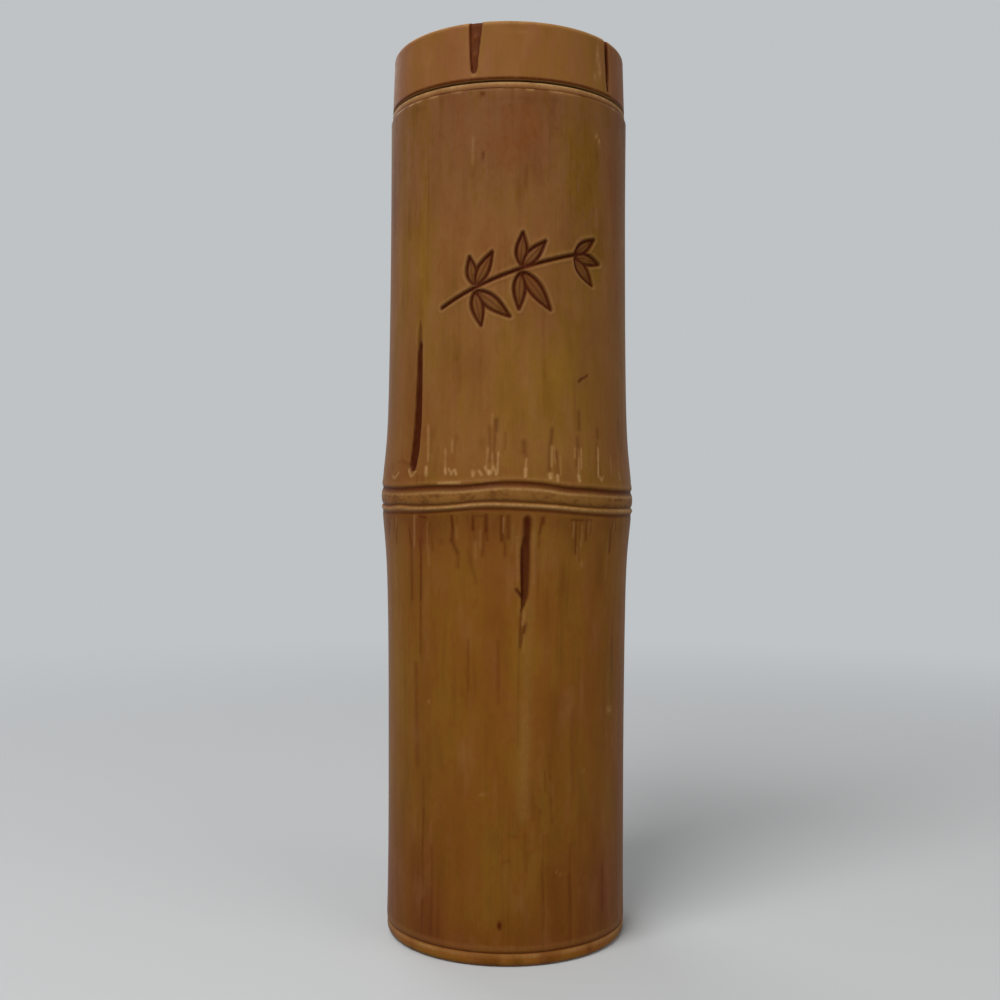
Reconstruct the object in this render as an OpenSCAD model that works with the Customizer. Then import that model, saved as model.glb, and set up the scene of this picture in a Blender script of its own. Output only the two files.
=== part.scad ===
// Lidded cup in the form of a piece of bamboo culm with one node.
// Millimetres, +Z up, origin at the middle of the foot, front of the cup towards -Y.
// Angles go round the cup from its front, positive towards +X.

/* [Culm shell] */
// Diameter of the straight culm
culm_d = 60.7; // [56:0.1:70]
// Height of the shell's top edge above the table
shell_top = 207.5; // [170:0.5:260]
// Wall of the shell at its top edge
shell_wall = 2.75; // [2.4:0.05:4]
// How much wider the shell's bore is at the foot than at the top
bore_draft = 1; // [0:0.1:1.6]
// How far the culm flares out at its foot
foot_flare = 0.5; // [0:0.1:2]
// Height over which that flare dies away
flare_reach = 10; // [4:0.5:20]

/* [Node of the culm] */
// Height of the node ring's middle
node_z = 111; // [80:0.5:130]
// How far the culm swells out at its node
node_swell = 2.05; // [0.5:0.05:4]
// How far the steepest part of the swelling reaches up and down
node_reach = 11; // [7:0.5:16]
// How far the node ring wanders up and down on its way round
node_wander = 1; // [0:0.1:2]
// How far from the ring the wander can be felt
wander_reach = 14; // [8:0.5:24]
// Height of the band between the node's two creases
band_h = 4.1; // [3:0.1:7]
// How far the band is crowned
band_crown = 0.15; // [0:0.05:0.6]
// Width of each crease
crease_w = 1.1; // [0.6:0.1:1.6]
// Depth of each crease
crease_depth = 0.5; // [0.1:0.05:0.9]
// Height of the thin ledge under the lower crease
ledge_h = 0.9; // [0.5:0.1:1.6]
// How far the ledge stands out
ledge_out = 0.2; // [0:0.05:0.6]

/* [Splits in the culm] */
// Depth of the splits
split_depth = 1.2; // [0.4:0.1:1.6]
// Length of the split above the node
high_split_h = 36; // [15:0.5:50]
// Width of the split above the node
high_split_w = 2.5; // [1:0.1:4]
// Distance from the node's middle up to that split
high_split_up = 6.5; // [5:0.5:15]
// Length of the split below the node
low_split_h = 23; // [10:0.5:50]
// Width of the split below the node
low_split_w = 2.9; // [1:0.1:4]
// Distance from the node's middle down to that split
low_split_down = 4.6; // [4:0.2:15]
// Length of the crack that runs on below it
crack_h = 5.6; // [2:0.2:10]
// Width of that crack
crack_w = 1; // [0.4:0.1:2]
// Gap between the split and the crack
crack_gap = 2.6; // [1:0.2:6]

/* [Inner cup] */
// Space between the inner cup and the shell at the top
air_gap = 1.5; // [1:0.1:3]
// Wall of the inner cup
liner_wall = 1.8; // [1.4:0.1:2.4]
// How much smaller the inner cup's radius is at its floor than at its mouth
liner_taper = 2; // [1:0.1:3]
// Depth of the straight stretch of the mouth, where the lid's seal runs
mouth_h = 12; // [11:0.5:20]
// Height of the inner cup's underside above the table
liner_foot = 7; // [6:0.1:12]
// Thickness of the inner cup's floor
liner_floor = 2.2; // [1.4:0.1:4]
// Radius between the inner cup's floor and wall
liner_corner = 5; // [2:0.5:8]
// Thickness of the flange that shows between the shell and the lid
flange_h = 1.5; // [1:0.1:3]
// How far the flange stays inside the culm's face
flange_step = 0.35; // [0:0.05:0.6]
// Height of the collar that centres the inner cup in the shell
liner_collar_h = 5; // [2:0.5:8]
// Play all round between each collar and the shell's bore
fit_gap = 0.15; // [0.05:0.05:0.3]
// Small chamfers that lead one piece into another
lead_in = 0.5; // [0.2:0.1:0.8]

/* [Base cap] */
// Height of the bead that shows below the shell
bead_h = 3.4; // [2.8:0.1:5]
// How far the bead stays inside the shell's foot
bead_step = 0.1; // [0:0.05:0.5]
// Radius of the bead's lower edge
bead_round = 1.6; // [0.8:0.1:2.2]
// Width of the dark joint line above the bead
bead_line = 0.4; // [0.2:0.1:0.6]
// Width of the ring that the cup stands on, up to where the bead rounds off
foot_w = 4.9; // [3:0.1:8]
// Depth of the hollow underneath
foot_recess = 1.5; // [0.8:0.1:2]
// Thickness of the base's disc
base_web = 2; // [1.5:0.1:3]
// Height of the collar that plugs into the shell
base_collar_h = 5.6; // [3:0.2:9]
// Wall of that collar
base_collar_w = 2; // [1.4:0.1:2.6]

/* [Lid] */
// Height of the lid above its seat
lid_h = 14.9; // [12:0.1:22]
// How far the lid's band stays inside the flange
lid_step = 0.05; // [0:0.05:0.5]
// How much smaller the lid's radius is at its top than at its lower edge
lid_draft = 0.45; // [0:0.05:1]
// Radius of the lid's upper edge
lid_round = 1.2; // [0.4:0.1:1.6]
// Radius of the lower edge of its band
band_round = 0.9; // [0.3:0.1:1]
// Height of the shadow gap between the lid's band and the flange
shadow_gap = 0.6; // [0.3:0.1:1.2]
// Play between the lid's seat and the flange
seat_gap = 0.05; // [0.03:0.01:0.1]
// Width of the seat outside the mouth
seat_w = 1.5; // [1.2:0.1:2]
// Width of the groove that keeps the rim from being too thick
core_w = 1.6; // [1:0.1:1.8]
// Thickness of the rim over that groove
rim_h = 2.2; // [1.6:0.1:4]
// Thickness of the wall between that groove and the hollow in the top
rim_wall = 2; // [1.5:0.1:2.4]
// Depth of the hollow in the lid's top
hollow_h = 5; // [4.5:0.1:7]
// Thickness of the lid's disc
lid_web = 2; // [1.5:0.1:3]
// Diameter of the straw hole
straw_d = 8; // [6:0.5:12]
// Depth of the splits in the lid's band
lid_split_depth = 1; // [0.3:0.1:1.2]
// Length of the wide split in the lid's band
wide_split_h = 12.5; // [4:0.1:13]
// Width of the wide split at the lid's upper edge
wide_split_w = 2.8; // [1:0.1:4]
// Length of the fine split in the lid's band
fine_split_h = 13.2; // [4:0.1:13.2]
// Width of the fine split at the lid's upper edge
fine_split_w = 1.6; // [0.6:0.1:3]

/* [Plug of the lid] */
// How far the plug reaches into the mouth
plug_h = 9; // [8:0.1:10.5]
// Wall of the plug
plug_wall = 2.6; // [2.2:0.1:3.4]
// Play between the plug and the mouth
plug_gap = 0.7; // [0.4:0.05:0.9]
// Distance from the plug's end up to the seal's groove
groove_up = 1.5; // [1:0.1:2.4]
// Depth of the seal's groove
groove_depth = 1.2; // [0.8:0.1:1.4]

/* [Seal ring] */
// Height of the seal ring, which fills its groove
seal_h = 5.1; // [3.6:0.1:5.4]
// How far the seal's body stays inside the plug's face
seal_step = 0.1; // [0:0.05:0.3]
// Number of sealing fins
seal_fins = 3; // [2:1:4]
// Play between the fins and the mouth at rest
fin_gap = 0.1; // [0.02:0.02:0.2]
// Height of each fin at its root
fin_h = 1; // [0.6:0.1:1.2]

/* [Hidden] */

// Facets of a full circle, steps of a rounded edge, and what every cut runs past its faces
smooth = 96;
arc_steps = 6;
overrun = 1;

// Places of the splits round the cup, in degrees
high_split_turn = -46;
low_split_turn = 9;
wide_split_turn = -14;
fine_split_turn = 55;

// Outer radii from the foot upwards
culm_r = culm_d / 2;
bead_r = culm_r + foot_flare / 2 - bead_step;
flange_r = culm_r - flange_step;
lid_r = flange_r - lid_step;
lid_top_r = lid_r - lid_draft;

// Radii inside, each worked out from what surrounds it
bore_top_r = culm_r - shell_wall;
bore_low_r = bore_top_r + bore_draft / 2;
liner_r = bore_top_r - air_gap;
mouth_r = liner_r - liner_wall;
floor_r = mouth_r - liner_taper;
plug_r = mouth_r - plug_gap;
plug_in_r = plug_r - plug_wall;
groove_r = plug_r - groove_depth;
seal_r = plug_r - seal_step;
fin_r = mouth_r - fin_gap;
seat_r = mouth_r + seat_w;
core_r = seat_r + core_w;
hollow_r = seat_r - rim_wall;

// Heights
disc_z = foot_recess + base_web;
base_collar_z = bead_h + base_collar_h;
floor_z = liner_foot + liner_floor;
seat_z = shell_top + flange_h;
lid_seat_z = seat_z + seat_gap;
band_z = seat_z + shadow_gap;
lid_top_z = seat_z + lid_h;
hollow_z = lid_top_z - hollow_h;
web_z = hollow_z - lid_web;
plug_z = lid_seat_z - plug_h;
groove_z = plug_z + groove_up;

// The culm's swelling is three bumps of growing reach. Their heights are shares of
// node_swell and their reaches multiples of node_reach.
swell_shares = [0.56, 0.27, 0.17];
reach_shares = [1, 2.3, 5];

// The node ring's wander as waves, one to four of them round the cup
cos_shares = [0, 0.35, 0.43, 0.25];
sin_shares = [-0.59, 0.17, 0.04, -0.1];

// The culm is drawn on rings of points: rows from the foot up to the node, rows round
// each crease, and rows from the node up to the top edge
columns = 72;
low_row_shares = [1, 0.97, 0.93, 0.83, 0.66, 0.48, 0.34, 0.24, 0.16, 0.1, 0.055, 0.022];
high_row_shares = [0.022, 0.055, 0.1, 0.16, 0.24, 0.34, 0.48, 0.66, 0.83, 1];

// Outlines of the splits: places across as shares of the width, up as shares of the length
high_split_shares = [
  [-0.5, 0.06], [-0.38, 0], [0.25, 0.01], [0.5, 0.08], [0.45, 0.35], [0.3, 0.65],
  [0.14, 0.86], [0, 1], [-0.14, 0.85], [-0.28, 0.6], [-0.42, 0.32]
];
low_split_shares = [
  [-0.45, 1], [-0.48, 0.5], [-0.45, 0.2], [-0.36, 0], [-0.1, 0.1], [0.32, 0.22],
  [0.45, 0.36], [0.52, 0.62], [0.3, 0.84], [0.1, 1]
];
crack_shares = [[-0.5, 0], [0, 0.3], [0.3, 0.55], [0.5, 1], [-0.1, 0.85], [-0.2, 0.4]];
lid_split_shares = [
  [-0.5, 1], [-0.42, 0.6], [-0.3, 0.25], [-0.36, 0.06], [-0.1, 0], [0.2, 0.03],
  [0.34, 0.3], [0.4, 0.7], [0.5, 1]
];

// A smooth bump: 1 at the middle, dying away over the reach
function bump(t, reach) = exp(-pow(t / reach, 2));

function sum(list) = list * [for (item = list) 1];

// Height of the node ring's middle line above node_z, at an angle round the cup
function wander(turn) = node_wander * sum([
  for (i = [0 : len(cos_shares) - 1])
    cos_shares[i] * cos((i + 1) * turn) + sin_shares[i] * sin((i + 1) * turn)
]);

// Radius of the culm at a distance t above the node ring's middle
function culm_radius(t) =
  culm_r
  + node_swell * sum([
      for (i = [0 : len(swell_shares) - 1]) swell_shares[i] * bump(t, node_reach * reach_shares[i])
    ])
  + band_crown * max(0, 1 - pow(2 * t / band_h, 2))
  - crease_depth * bump(abs(t) - band_h / 2, crease_w / 2)
  + ledge_out * bump(t + band_h / 2 + crease_w + ledge_h / 2, ledge_h)
  + foot_flare / 2 * exp(-(node_z + t - bead_h) / flare_reach);

// Points of a rounded edge from one angle to another
function arc(x, z, r, from, to) = [
  for (i = [0 : arc_steps])
    let (a = from + (to - from) * i / arc_steps)
      [x + r * cos(a), z + r * sin(a)]
];

// Distances of the culm's rows from the node ring's middle, from the foot upwards
ledge_low = band_h / 2 + crease_w + ledge_h;
ring_high = band_h / 2 + crease_w;
culm_rows = concat(
  [for (s = low_row_shares) -ledge_low - s * (node_z - ledge_low - bead_h)],
  [-ledge_low, -ledge_low + ledge_h / 2],
  [for (s = [-1, -0.5, 0, 0.5, 1]) s * crease_w - band_h / 2],
  [0],
  [for (s = [-1, -0.5, 0, 0.5, 1]) s * crease_w + band_h / 2],
  [for (s = high_row_shares) ring_high + s * (shell_top - node_z - ring_high)]
);

// The culm as a closed solid: quads between rows, split in two, and a flat face at each end
module culm() {
  last = len(culm_rows) - 1;
  points = [
    for (t = culm_rows, i = [0 : columns - 1])
      let (turn = 360 * i / columns, r = culm_radius(t))
        [r * sin(turn), -r * cos(turn), node_z + t + wander(turn) * bump(t, wander_reach)]
  ];
  quads = [
    for (j = [0 : last - 1], i = [0 : columns - 1])
      let (k = (i + 1) % columns)
        [j * columns + i, (j + 1) * columns + i, (j + 1) * columns + k, j * columns + k]
  ];
  polyhedron(points, concat(
    [for (q = quads) [q[0], q[1], q[2]]],
    [for (q = quads) [q[0], q[2], q[3]]],
    [[for (i = [0 : columns - 1]) i]],
    [[for (i = [columns - 1 : -1 : 0]) last * columns + i]]
  ));
}

// A split's cutter: its outline, scaled to size, pushed out through the wall from its floor
module split(turn, floor_r, low_z, w, h, shares) {
  rotate(turn)
    translate([0, -floor_r, low_z])
      rotate([90, 0, 0])
        linear_extrude(node_swell + split_depth + overrun)
          polygon([for (p = shares) [w * p[0], h * p[1]]]);
}

module outer_shell() {
  floor_r = culm_r - split_depth;
  low_split_z = node_z - low_split_down - low_split_h;
  color("peru")
    difference() {
      culm();
      translate([0, 0, bead_h - overrun])
        cylinder(h = shell_top - bead_h + 2 * overrun, r1 = bore_low_r, r2 = bore_top_r, $fn = smooth);
      split(high_split_turn, floor_r, node_z + high_split_up, high_split_w, high_split_h, high_split_shares);
      split(low_split_turn, floor_r, low_split_z, low_split_w, low_split_h, low_split_shares);
      split(low_split_turn, floor_r, low_split_z - crack_gap - crack_h, crack_w, crack_h, crack_shares);
    }
}

module inner_liner() {
  liner_collar_r = bore_top_r - fit_gap;
  liner_collar_z = shell_top - liner_collar_h;
  outer_corner = liner_corner + liner_wall / 2;
  floor_out_r = floor_r + liner_wall;
  color("saddlebrown")
    rotate_extrude($fn = smooth)
      polygon(concat(
        [[0, liner_foot]],
        arc(floor_out_r - outer_corner, liner_foot + outer_corner, outer_corner, -90, 0),
        [
          [liner_r, liner_collar_z - liner_collar_r + liner_r],
          [liner_collar_r, liner_collar_z],
          [liner_collar_r, shell_top],
          [flange_r, shell_top],
          [flange_r, seat_z],
          [mouth_r + lead_in, seat_z],
          [mouth_r, seat_z - lead_in],
          [mouth_r, seat_z - mouth_h]
        ],
        arc(floor_r - liner_corner, floor_z + liner_corner, liner_corner, 0, -90),
        [[0, floor_z]]
      ));
}

module base_cap() {
  collar_r = bore_low_r - fit_gap;
  foot_in_r = bead_r - bead_round - foot_w;
  color("goldenrod")
    rotate_extrude($fn = smooth)
      polygon(concat(
        [
          [0, foot_recess],
          [foot_in_r - foot_recess, foot_recess],
          [foot_in_r, 0]
        ],
        arc(bead_r - bead_round, bead_round, bead_round, -90, 0),
        [
          [bead_r, bead_h - bead_line],
          [bead_r - bead_line, bead_h],
          [collar_r, bead_h],
          [collar_r, base_collar_z - lead_in],
          [collar_r - lead_in, base_collar_z],
          [collar_r - base_collar_w, base_collar_z],
          [collar_r - base_collar_w, disc_z],
          [0, disc_z]
        ]
      ));
}

module lid() {
  color("chocolate")
    difference() {
      rotate_extrude($fn = smooth)
        polygon(concat(
          [
            [plug_in_r, plug_z],
            [plug_r - lead_in, plug_z],
            [plug_r, plug_z + lead_in],
            [plug_r, groove_z],
            [groove_r, groove_z],
            [groove_r, groove_z + seal_h],
            [plug_r, groove_z + seal_h],
            [plug_r, lid_seat_z],
            [seat_r, lid_seat_z],
            [seat_r, lid_top_z - rim_h],
            [core_r, lid_top_z - rim_h],
            [core_r, band_z]
          ],
          arc(lid_r - band_round, band_z + band_round, band_round, -90, 0),
          arc(lid_top_r - lid_round, lid_top_z - lid_round, lid_round, 0, 90),
          arc(hollow_r + lid_round, lid_top_z - lid_round, lid_round, 90, 180),
          [
            [hollow_r - lead_in, hollow_z],
            [straw_d / 2, hollow_z],
            [straw_d / 2, web_z],
            [plug_in_r, web_z]
          ]
        ));
      split(
        wide_split_turn, lid_top_r - lid_split_depth, lid_top_z - wide_split_h,
        wide_split_w, wide_split_h + overrun, lid_split_shares
      );
      split(
        fine_split_turn, lid_top_r - lid_split_depth, lid_top_z - fine_split_h,
        fine_split_w, fine_split_h + overrun, lid_split_shares
      );
    }
}

module seal_ring() {
  pitch = seal_h / seal_fins;
  color("ivory")
    rotate_extrude($fn = smooth)
      polygon(concat(
        [[groove_r, groove_z], [seal_r, groove_z]],
        [
          for (i = [0 : seal_fins - 1])
            let (low_z = groove_z + pitch * i + (pitch - fin_h) / 2)
              each [[seal_r, low_z], [fin_r, low_z + fin_h * 2 / 3], [seal_r, low_z + fin_h]]
        ],
        [[seal_r, groove_z + seal_h], [groove_r, groove_z + seal_h]]
      ));
}

outer_shell();
inner_liner();
base_cap();
lid();
seal_ring();
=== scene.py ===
import functools
import math

import bpy
import numpy as np
from mathutils import Matrix, Vector


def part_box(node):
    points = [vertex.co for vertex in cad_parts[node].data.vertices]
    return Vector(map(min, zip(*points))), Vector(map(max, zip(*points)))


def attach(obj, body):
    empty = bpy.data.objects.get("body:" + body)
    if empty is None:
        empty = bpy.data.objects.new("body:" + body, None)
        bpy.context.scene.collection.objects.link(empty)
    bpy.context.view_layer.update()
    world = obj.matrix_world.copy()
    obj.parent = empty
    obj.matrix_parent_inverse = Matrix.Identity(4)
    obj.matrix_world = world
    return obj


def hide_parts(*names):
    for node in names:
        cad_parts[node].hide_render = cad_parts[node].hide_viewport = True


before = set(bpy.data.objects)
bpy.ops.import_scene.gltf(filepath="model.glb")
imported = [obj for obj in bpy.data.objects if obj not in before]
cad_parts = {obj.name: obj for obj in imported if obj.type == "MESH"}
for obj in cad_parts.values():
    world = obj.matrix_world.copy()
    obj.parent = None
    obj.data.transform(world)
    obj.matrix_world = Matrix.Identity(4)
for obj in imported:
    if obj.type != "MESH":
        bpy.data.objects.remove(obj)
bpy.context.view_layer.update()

# The cup is measured in millimetres, which gridMesh turns into metres. The materials, the
# stage, the lights and the camera are in metres. Angles go round the cup from its front (-Y),
# positive towards +X. An arc is an angle as a length along a circle of arcRadius, and a height
# is above the table.
mm = 0.001
arcRadius = 30.4
sharpAngle = 44                  # degrees: edges that turn less are shaded smooth
noiseFoot = -10.0                # patch noise covers the heights from here up by noiseReach
noiseReach = 260
shellLow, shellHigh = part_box("outer_shell")
linerLow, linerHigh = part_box("inner_liner")
lidLow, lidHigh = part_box("lid")
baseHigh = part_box("base_cap")[1]

culm = {
    "radius": 30.35,             # straight culm
    "foot": shellLow.z / mm,
    "top": shellHigh.z / mm,
    "widest": shellHigh.x / mm,
    "boreFoot": 28.1,
    "boreTop": 27.6,
    "nodeHeight": 111.0,
    "nodeSwell": 1.95,
    "swellShares": (0.56, 0.27, 0.17),
    "swellReaches": (11.0, 25.3, 55.0),
    "footFlare": 0.25,
    "flareReach": 10.0,
    "wander": 1.0,               # how far the node ring wanders up and down
    "wanderReach": 14.0,
    "cosShares": (0.0, 0.35, 0.43, 0.25),
    "sinShares": (-0.59, 0.17, 0.04, -0.1),
    # where one crease or the other leaves that path: arc, reach, lift
    "upperStrays": ((-9.5, 7, -0.75), (14, 4.5, -0.35), (60, 12, -0.4), (-62, 9, -0.5)),
    "lowerStrays": ((-14, 6, -0.3), (3, 7, -0.2), (34, 12, 0.4), (-29, 4.5, 0.5), (75, 9, 0.4)),
    "upperCrease": 2.3,          # above the ring's middle
    "lowerCrease": -2.0,
    "upperReach": 3.0,           # how far from its crease a stray is felt
    "lowerReach": 2.0,
    "edgeRound": 0.3,
    # slow dents and upright flutes: depth, cells round, cell height, seed
    "dents": ((0.07, 9, 38, 51), (0.03, 46, 30, 52), (0.012, 150, 22, 53)),
    "columns": 760,
}
ring = {
    "valleyDepth": 0.27, "valleyFoot": 1.0, "valleyLip": 3.0,
    "lipAt": 3.4, "lipOut": 0.12, "lipWidth": 0.7,
    "bandHalf": 1.9, "bandCrown": 0.18,
    "creaseDepth": 0.26, "creaseWidth": 0.34,
    "beadAt": -2.76, "beadOut": 0.3, "beadWidth": 0.58,
    "underAt": -3.8, "underDepth": 0.15, "underWidth": 0.5,
    "pitDepth": 0.06,
    # noise of the pits and of the clouds under the ring: amount, cells round, cell height, seed
    "pits": ((0.6, 300, 5, 12), (1.0, 130, 9, 13)),
    "clouds": ((0.5, 70, 7, 21), (0.3, 24, 12, 22)),
    # lines of colour along the ring: place above its middle, width, strength; the wash and stain lines
    # in the creases are wash and painted shade
    "washAndShade": ((2.4, 0.36, 0.7), (1.95, 0.6, 0.35), (-2.0, 0.3, 0.6), (-3.8, 0.4, 0.4)),
    "stainAndShade": ((1.95, 0.7, 0.9), (-3.8, 0.55, 0.7)),
    # the worn lines on the band's top edge, the bead and the lip above are wear and painted highlight
    "wornAndHighlight": ((0.9, 0.45, 0.75), (-2.76, 0.45, 0.95), (3.5, 0.35, 0.25), (10.5, 6.5, 0.08)),
}


# Small shapes that everything else is put together from

def bell(x, width):
    # exp(-(x / width) squared): 1 in the middle, 0 far away
    return np.exp(-(x / width) ** 2)


def ramp(x, start, end):
    # 0 before start, 1 after end, smooth in between: 3t^2 - 2t^3
    t = np.clip((x - start) / (end - start), 0.0, 1.0)
    return t * t * (3.0 - 2.0 * t)


def stretch(start, end, step):
    # even places from start up to, but not including, end
    return np.linspace(start, end, max(2, int(round((end - start) / step))), endpoint=False)


def around(arc, at):
    # signed distance along the circle, taken the short way
    whole = 2 * math.pi * arcRadius
    return (arc - at + whole / 2) % whole - whole / 2


def patchNoise(turn, height, cellsRound, cellHeight, seed):
    # random heights at the corners of a grid that closes round the cup, joined smoothly, -1 to 1
    rng = np.random.default_rng(seed)
    lattice = rng.uniform(-1.0, 1.0, (int(noiseReach / cellHeight) + 4, cellsRound))
    u = (turn / (2 * np.pi)) % 1.0 * cellsRound
    v = (height - noiseFoot) / cellHeight
    i, j = np.floor(u).astype(int), np.floor(v).astype(int)
    fu, fv = ramp(u - i, 0.0, 1.0), ramp(v - j, 0.0, 1.0)
    i0, i1 = i % cellsRound, (i + 1) % cellsRound
    low = lattice[j, i0] * (1 - fu) + lattice[j, i1] * fu
    high = lattice[j + 1, i0] * (1 - fu) + lattice[j + 1, i1] * fu
    return low * (1 - fv) + high * fv


def noiseLayers(turn, height, layers):
    # patch noise of several sizes together: amount, cells round, cell height, seed
    return sum(amount * patchNoise(turn, height, *size) for amount, *size in layers)


def strongest(*masks):
    # the largest value of each place
    return functools.reduce(np.maximum, masks)


def lay(marks, name, *masks):
    # a mark keeps the strongest of what it has and what is laid on it
    marks[name] = strongest(marks[name], *masks)


def spot(arc, height, place):
    # a soft spot, one bell round and one up: arc, height, reach round, reach up, strength
    at, level, reachRound, reachUp, strength = place
    return strength * bell(around(arc, at), reachRound) * bell(height - level, reachUp)


def lineDistance(x, y, start, end):
    # distance to the nearest point of the straight line between two places
    dx, dy = end[0] - start[0], end[1] - start[1]
    px, py = x - start[0], y - start[1]
    t = np.clip((px * dx + py * dy) / (dx * dx + dy * dy), 0.0, 1.0)
    return np.hypot(px - t * dx, py - t * dy)


def nearestLine(x, y, places):
    # distance to the nearest of the lines that join a row of places
    return functools.reduce(np.minimum, (
        lineDistance(x, y, start, end) for start, end in zip(places[:-1], places[1:])
    ))


def outlineDistance(x, y, outline):
    # distance to a closed outline, negative inside: there a level line from the place crosses
    # the outline an odd number of times
    closed = outline + outline[:1]
    inside = np.zeros(x.shape, bool)
    for (ax, ay), (bx, by) in zip(closed[:-1], closed[1:]):
        if ay != by:
            inside ^= ((ay > y) != (by > y)) & (x < (bx - ax) * (y - ay) / (by - ay) + ax)
    return np.where(inside, -1, 1) * nearestLine(x, y, closed)


def strokeMask(arc, height, stroke, spread):
    # a soft line between two places, with rounded ends: bell of the distance to the line
    x0, z0, x1, z1, width = stroke[:5]
    away = lineDistance(around(arc, x0), height, (0, z0), (x1 - x0, z1))
    return bell(away, width + spread)


def cylinderPoints(radius, turn, height):
    # a point at each radius, angle and height
    return np.stack([radius * np.sin(turn), -radius * np.cos(turn), height], -1)


def gridMesh(name, points, marks, closed=True):
    # rows x columns of points in mm: columns close round the cup; rows close too, or end on
    # the axis, where the first and last row become one point each
    rows, columns = points.shape[:2]
    here = np.arange(columns)
    beside = np.roll(here, -1)
    triangles = np.zeros((0, 3), int)
    if closed:
        vertices = points.reshape(-1, 3)
        low = np.arange(rows)[:, None] * columns
        high = np.roll(np.arange(rows), -1)[:, None] * columns
    else:
        vertices = np.vstack([points[1:-1].reshape(-1, 3), points[0, :1], points[-1, :1]])
        low = np.arange(rows - 3)[:, None] * columns
        high = low + columns
        last = (rows - 3) * columns
        foot = np.full(columns, len(vertices) - 2)
        triangles = np.vstack([
            np.stack([foot, beside, here], -1),
            np.stack([last + here, last + beside, foot + 1], -1),
        ])
        marks = {
            key: np.concatenate([value[1:-1].ravel(), value[0, :1], value[-1, :1]])
            for key, value in marks.items()
        }
    quads = np.stack([low + here, low + beside, high + beside, high + here], -1).reshape(-1, 4)
    corners = np.concatenate([quads.ravel(), triangles.ravel()]).astype(np.int32)
    starts = np.concatenate([
        np.arange(len(quads)) * 4, len(quads) * 4 + np.arange(len(triangles)) * 3,
    ]).astype(np.int32)
    mesh = bpy.data.meshes.new(name)
    mesh.vertices.add(len(vertices))
    mesh.vertices.foreach_set("co", (vertices * mm).astype(np.float32).ravel())
    mesh.loops.add(len(corners))
    mesh.loops.foreach_set("vertex_index", corners)
    mesh.polygons.add(len(starts))
    mesh.polygons.foreach_set("loop_start", starts)
    mesh.update(calc_edges=True)
    mesh.polygons.foreach_set("use_smooth", np.ones(len(starts), bool))
    mesh.set_sharp_from_angle(angle=math.radians(sharpAngle))
    for markName, values in marks.items():
        attribute = mesh.attributes.new(markName, "FLOAT", "POINT")
        attribute.data.foreach_set("value", values.astype(np.float32).ravel())
    piece = bpy.data.objects.new(name, mesh)
    bpy.context.scene.collection.objects.link(piece)
    return piece


# Marks, read off the photograph on the front and drawn at random elsewhere. Each stroke is
# arc and height of its upper end, arc and height of its lower end, half width, strength.

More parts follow.
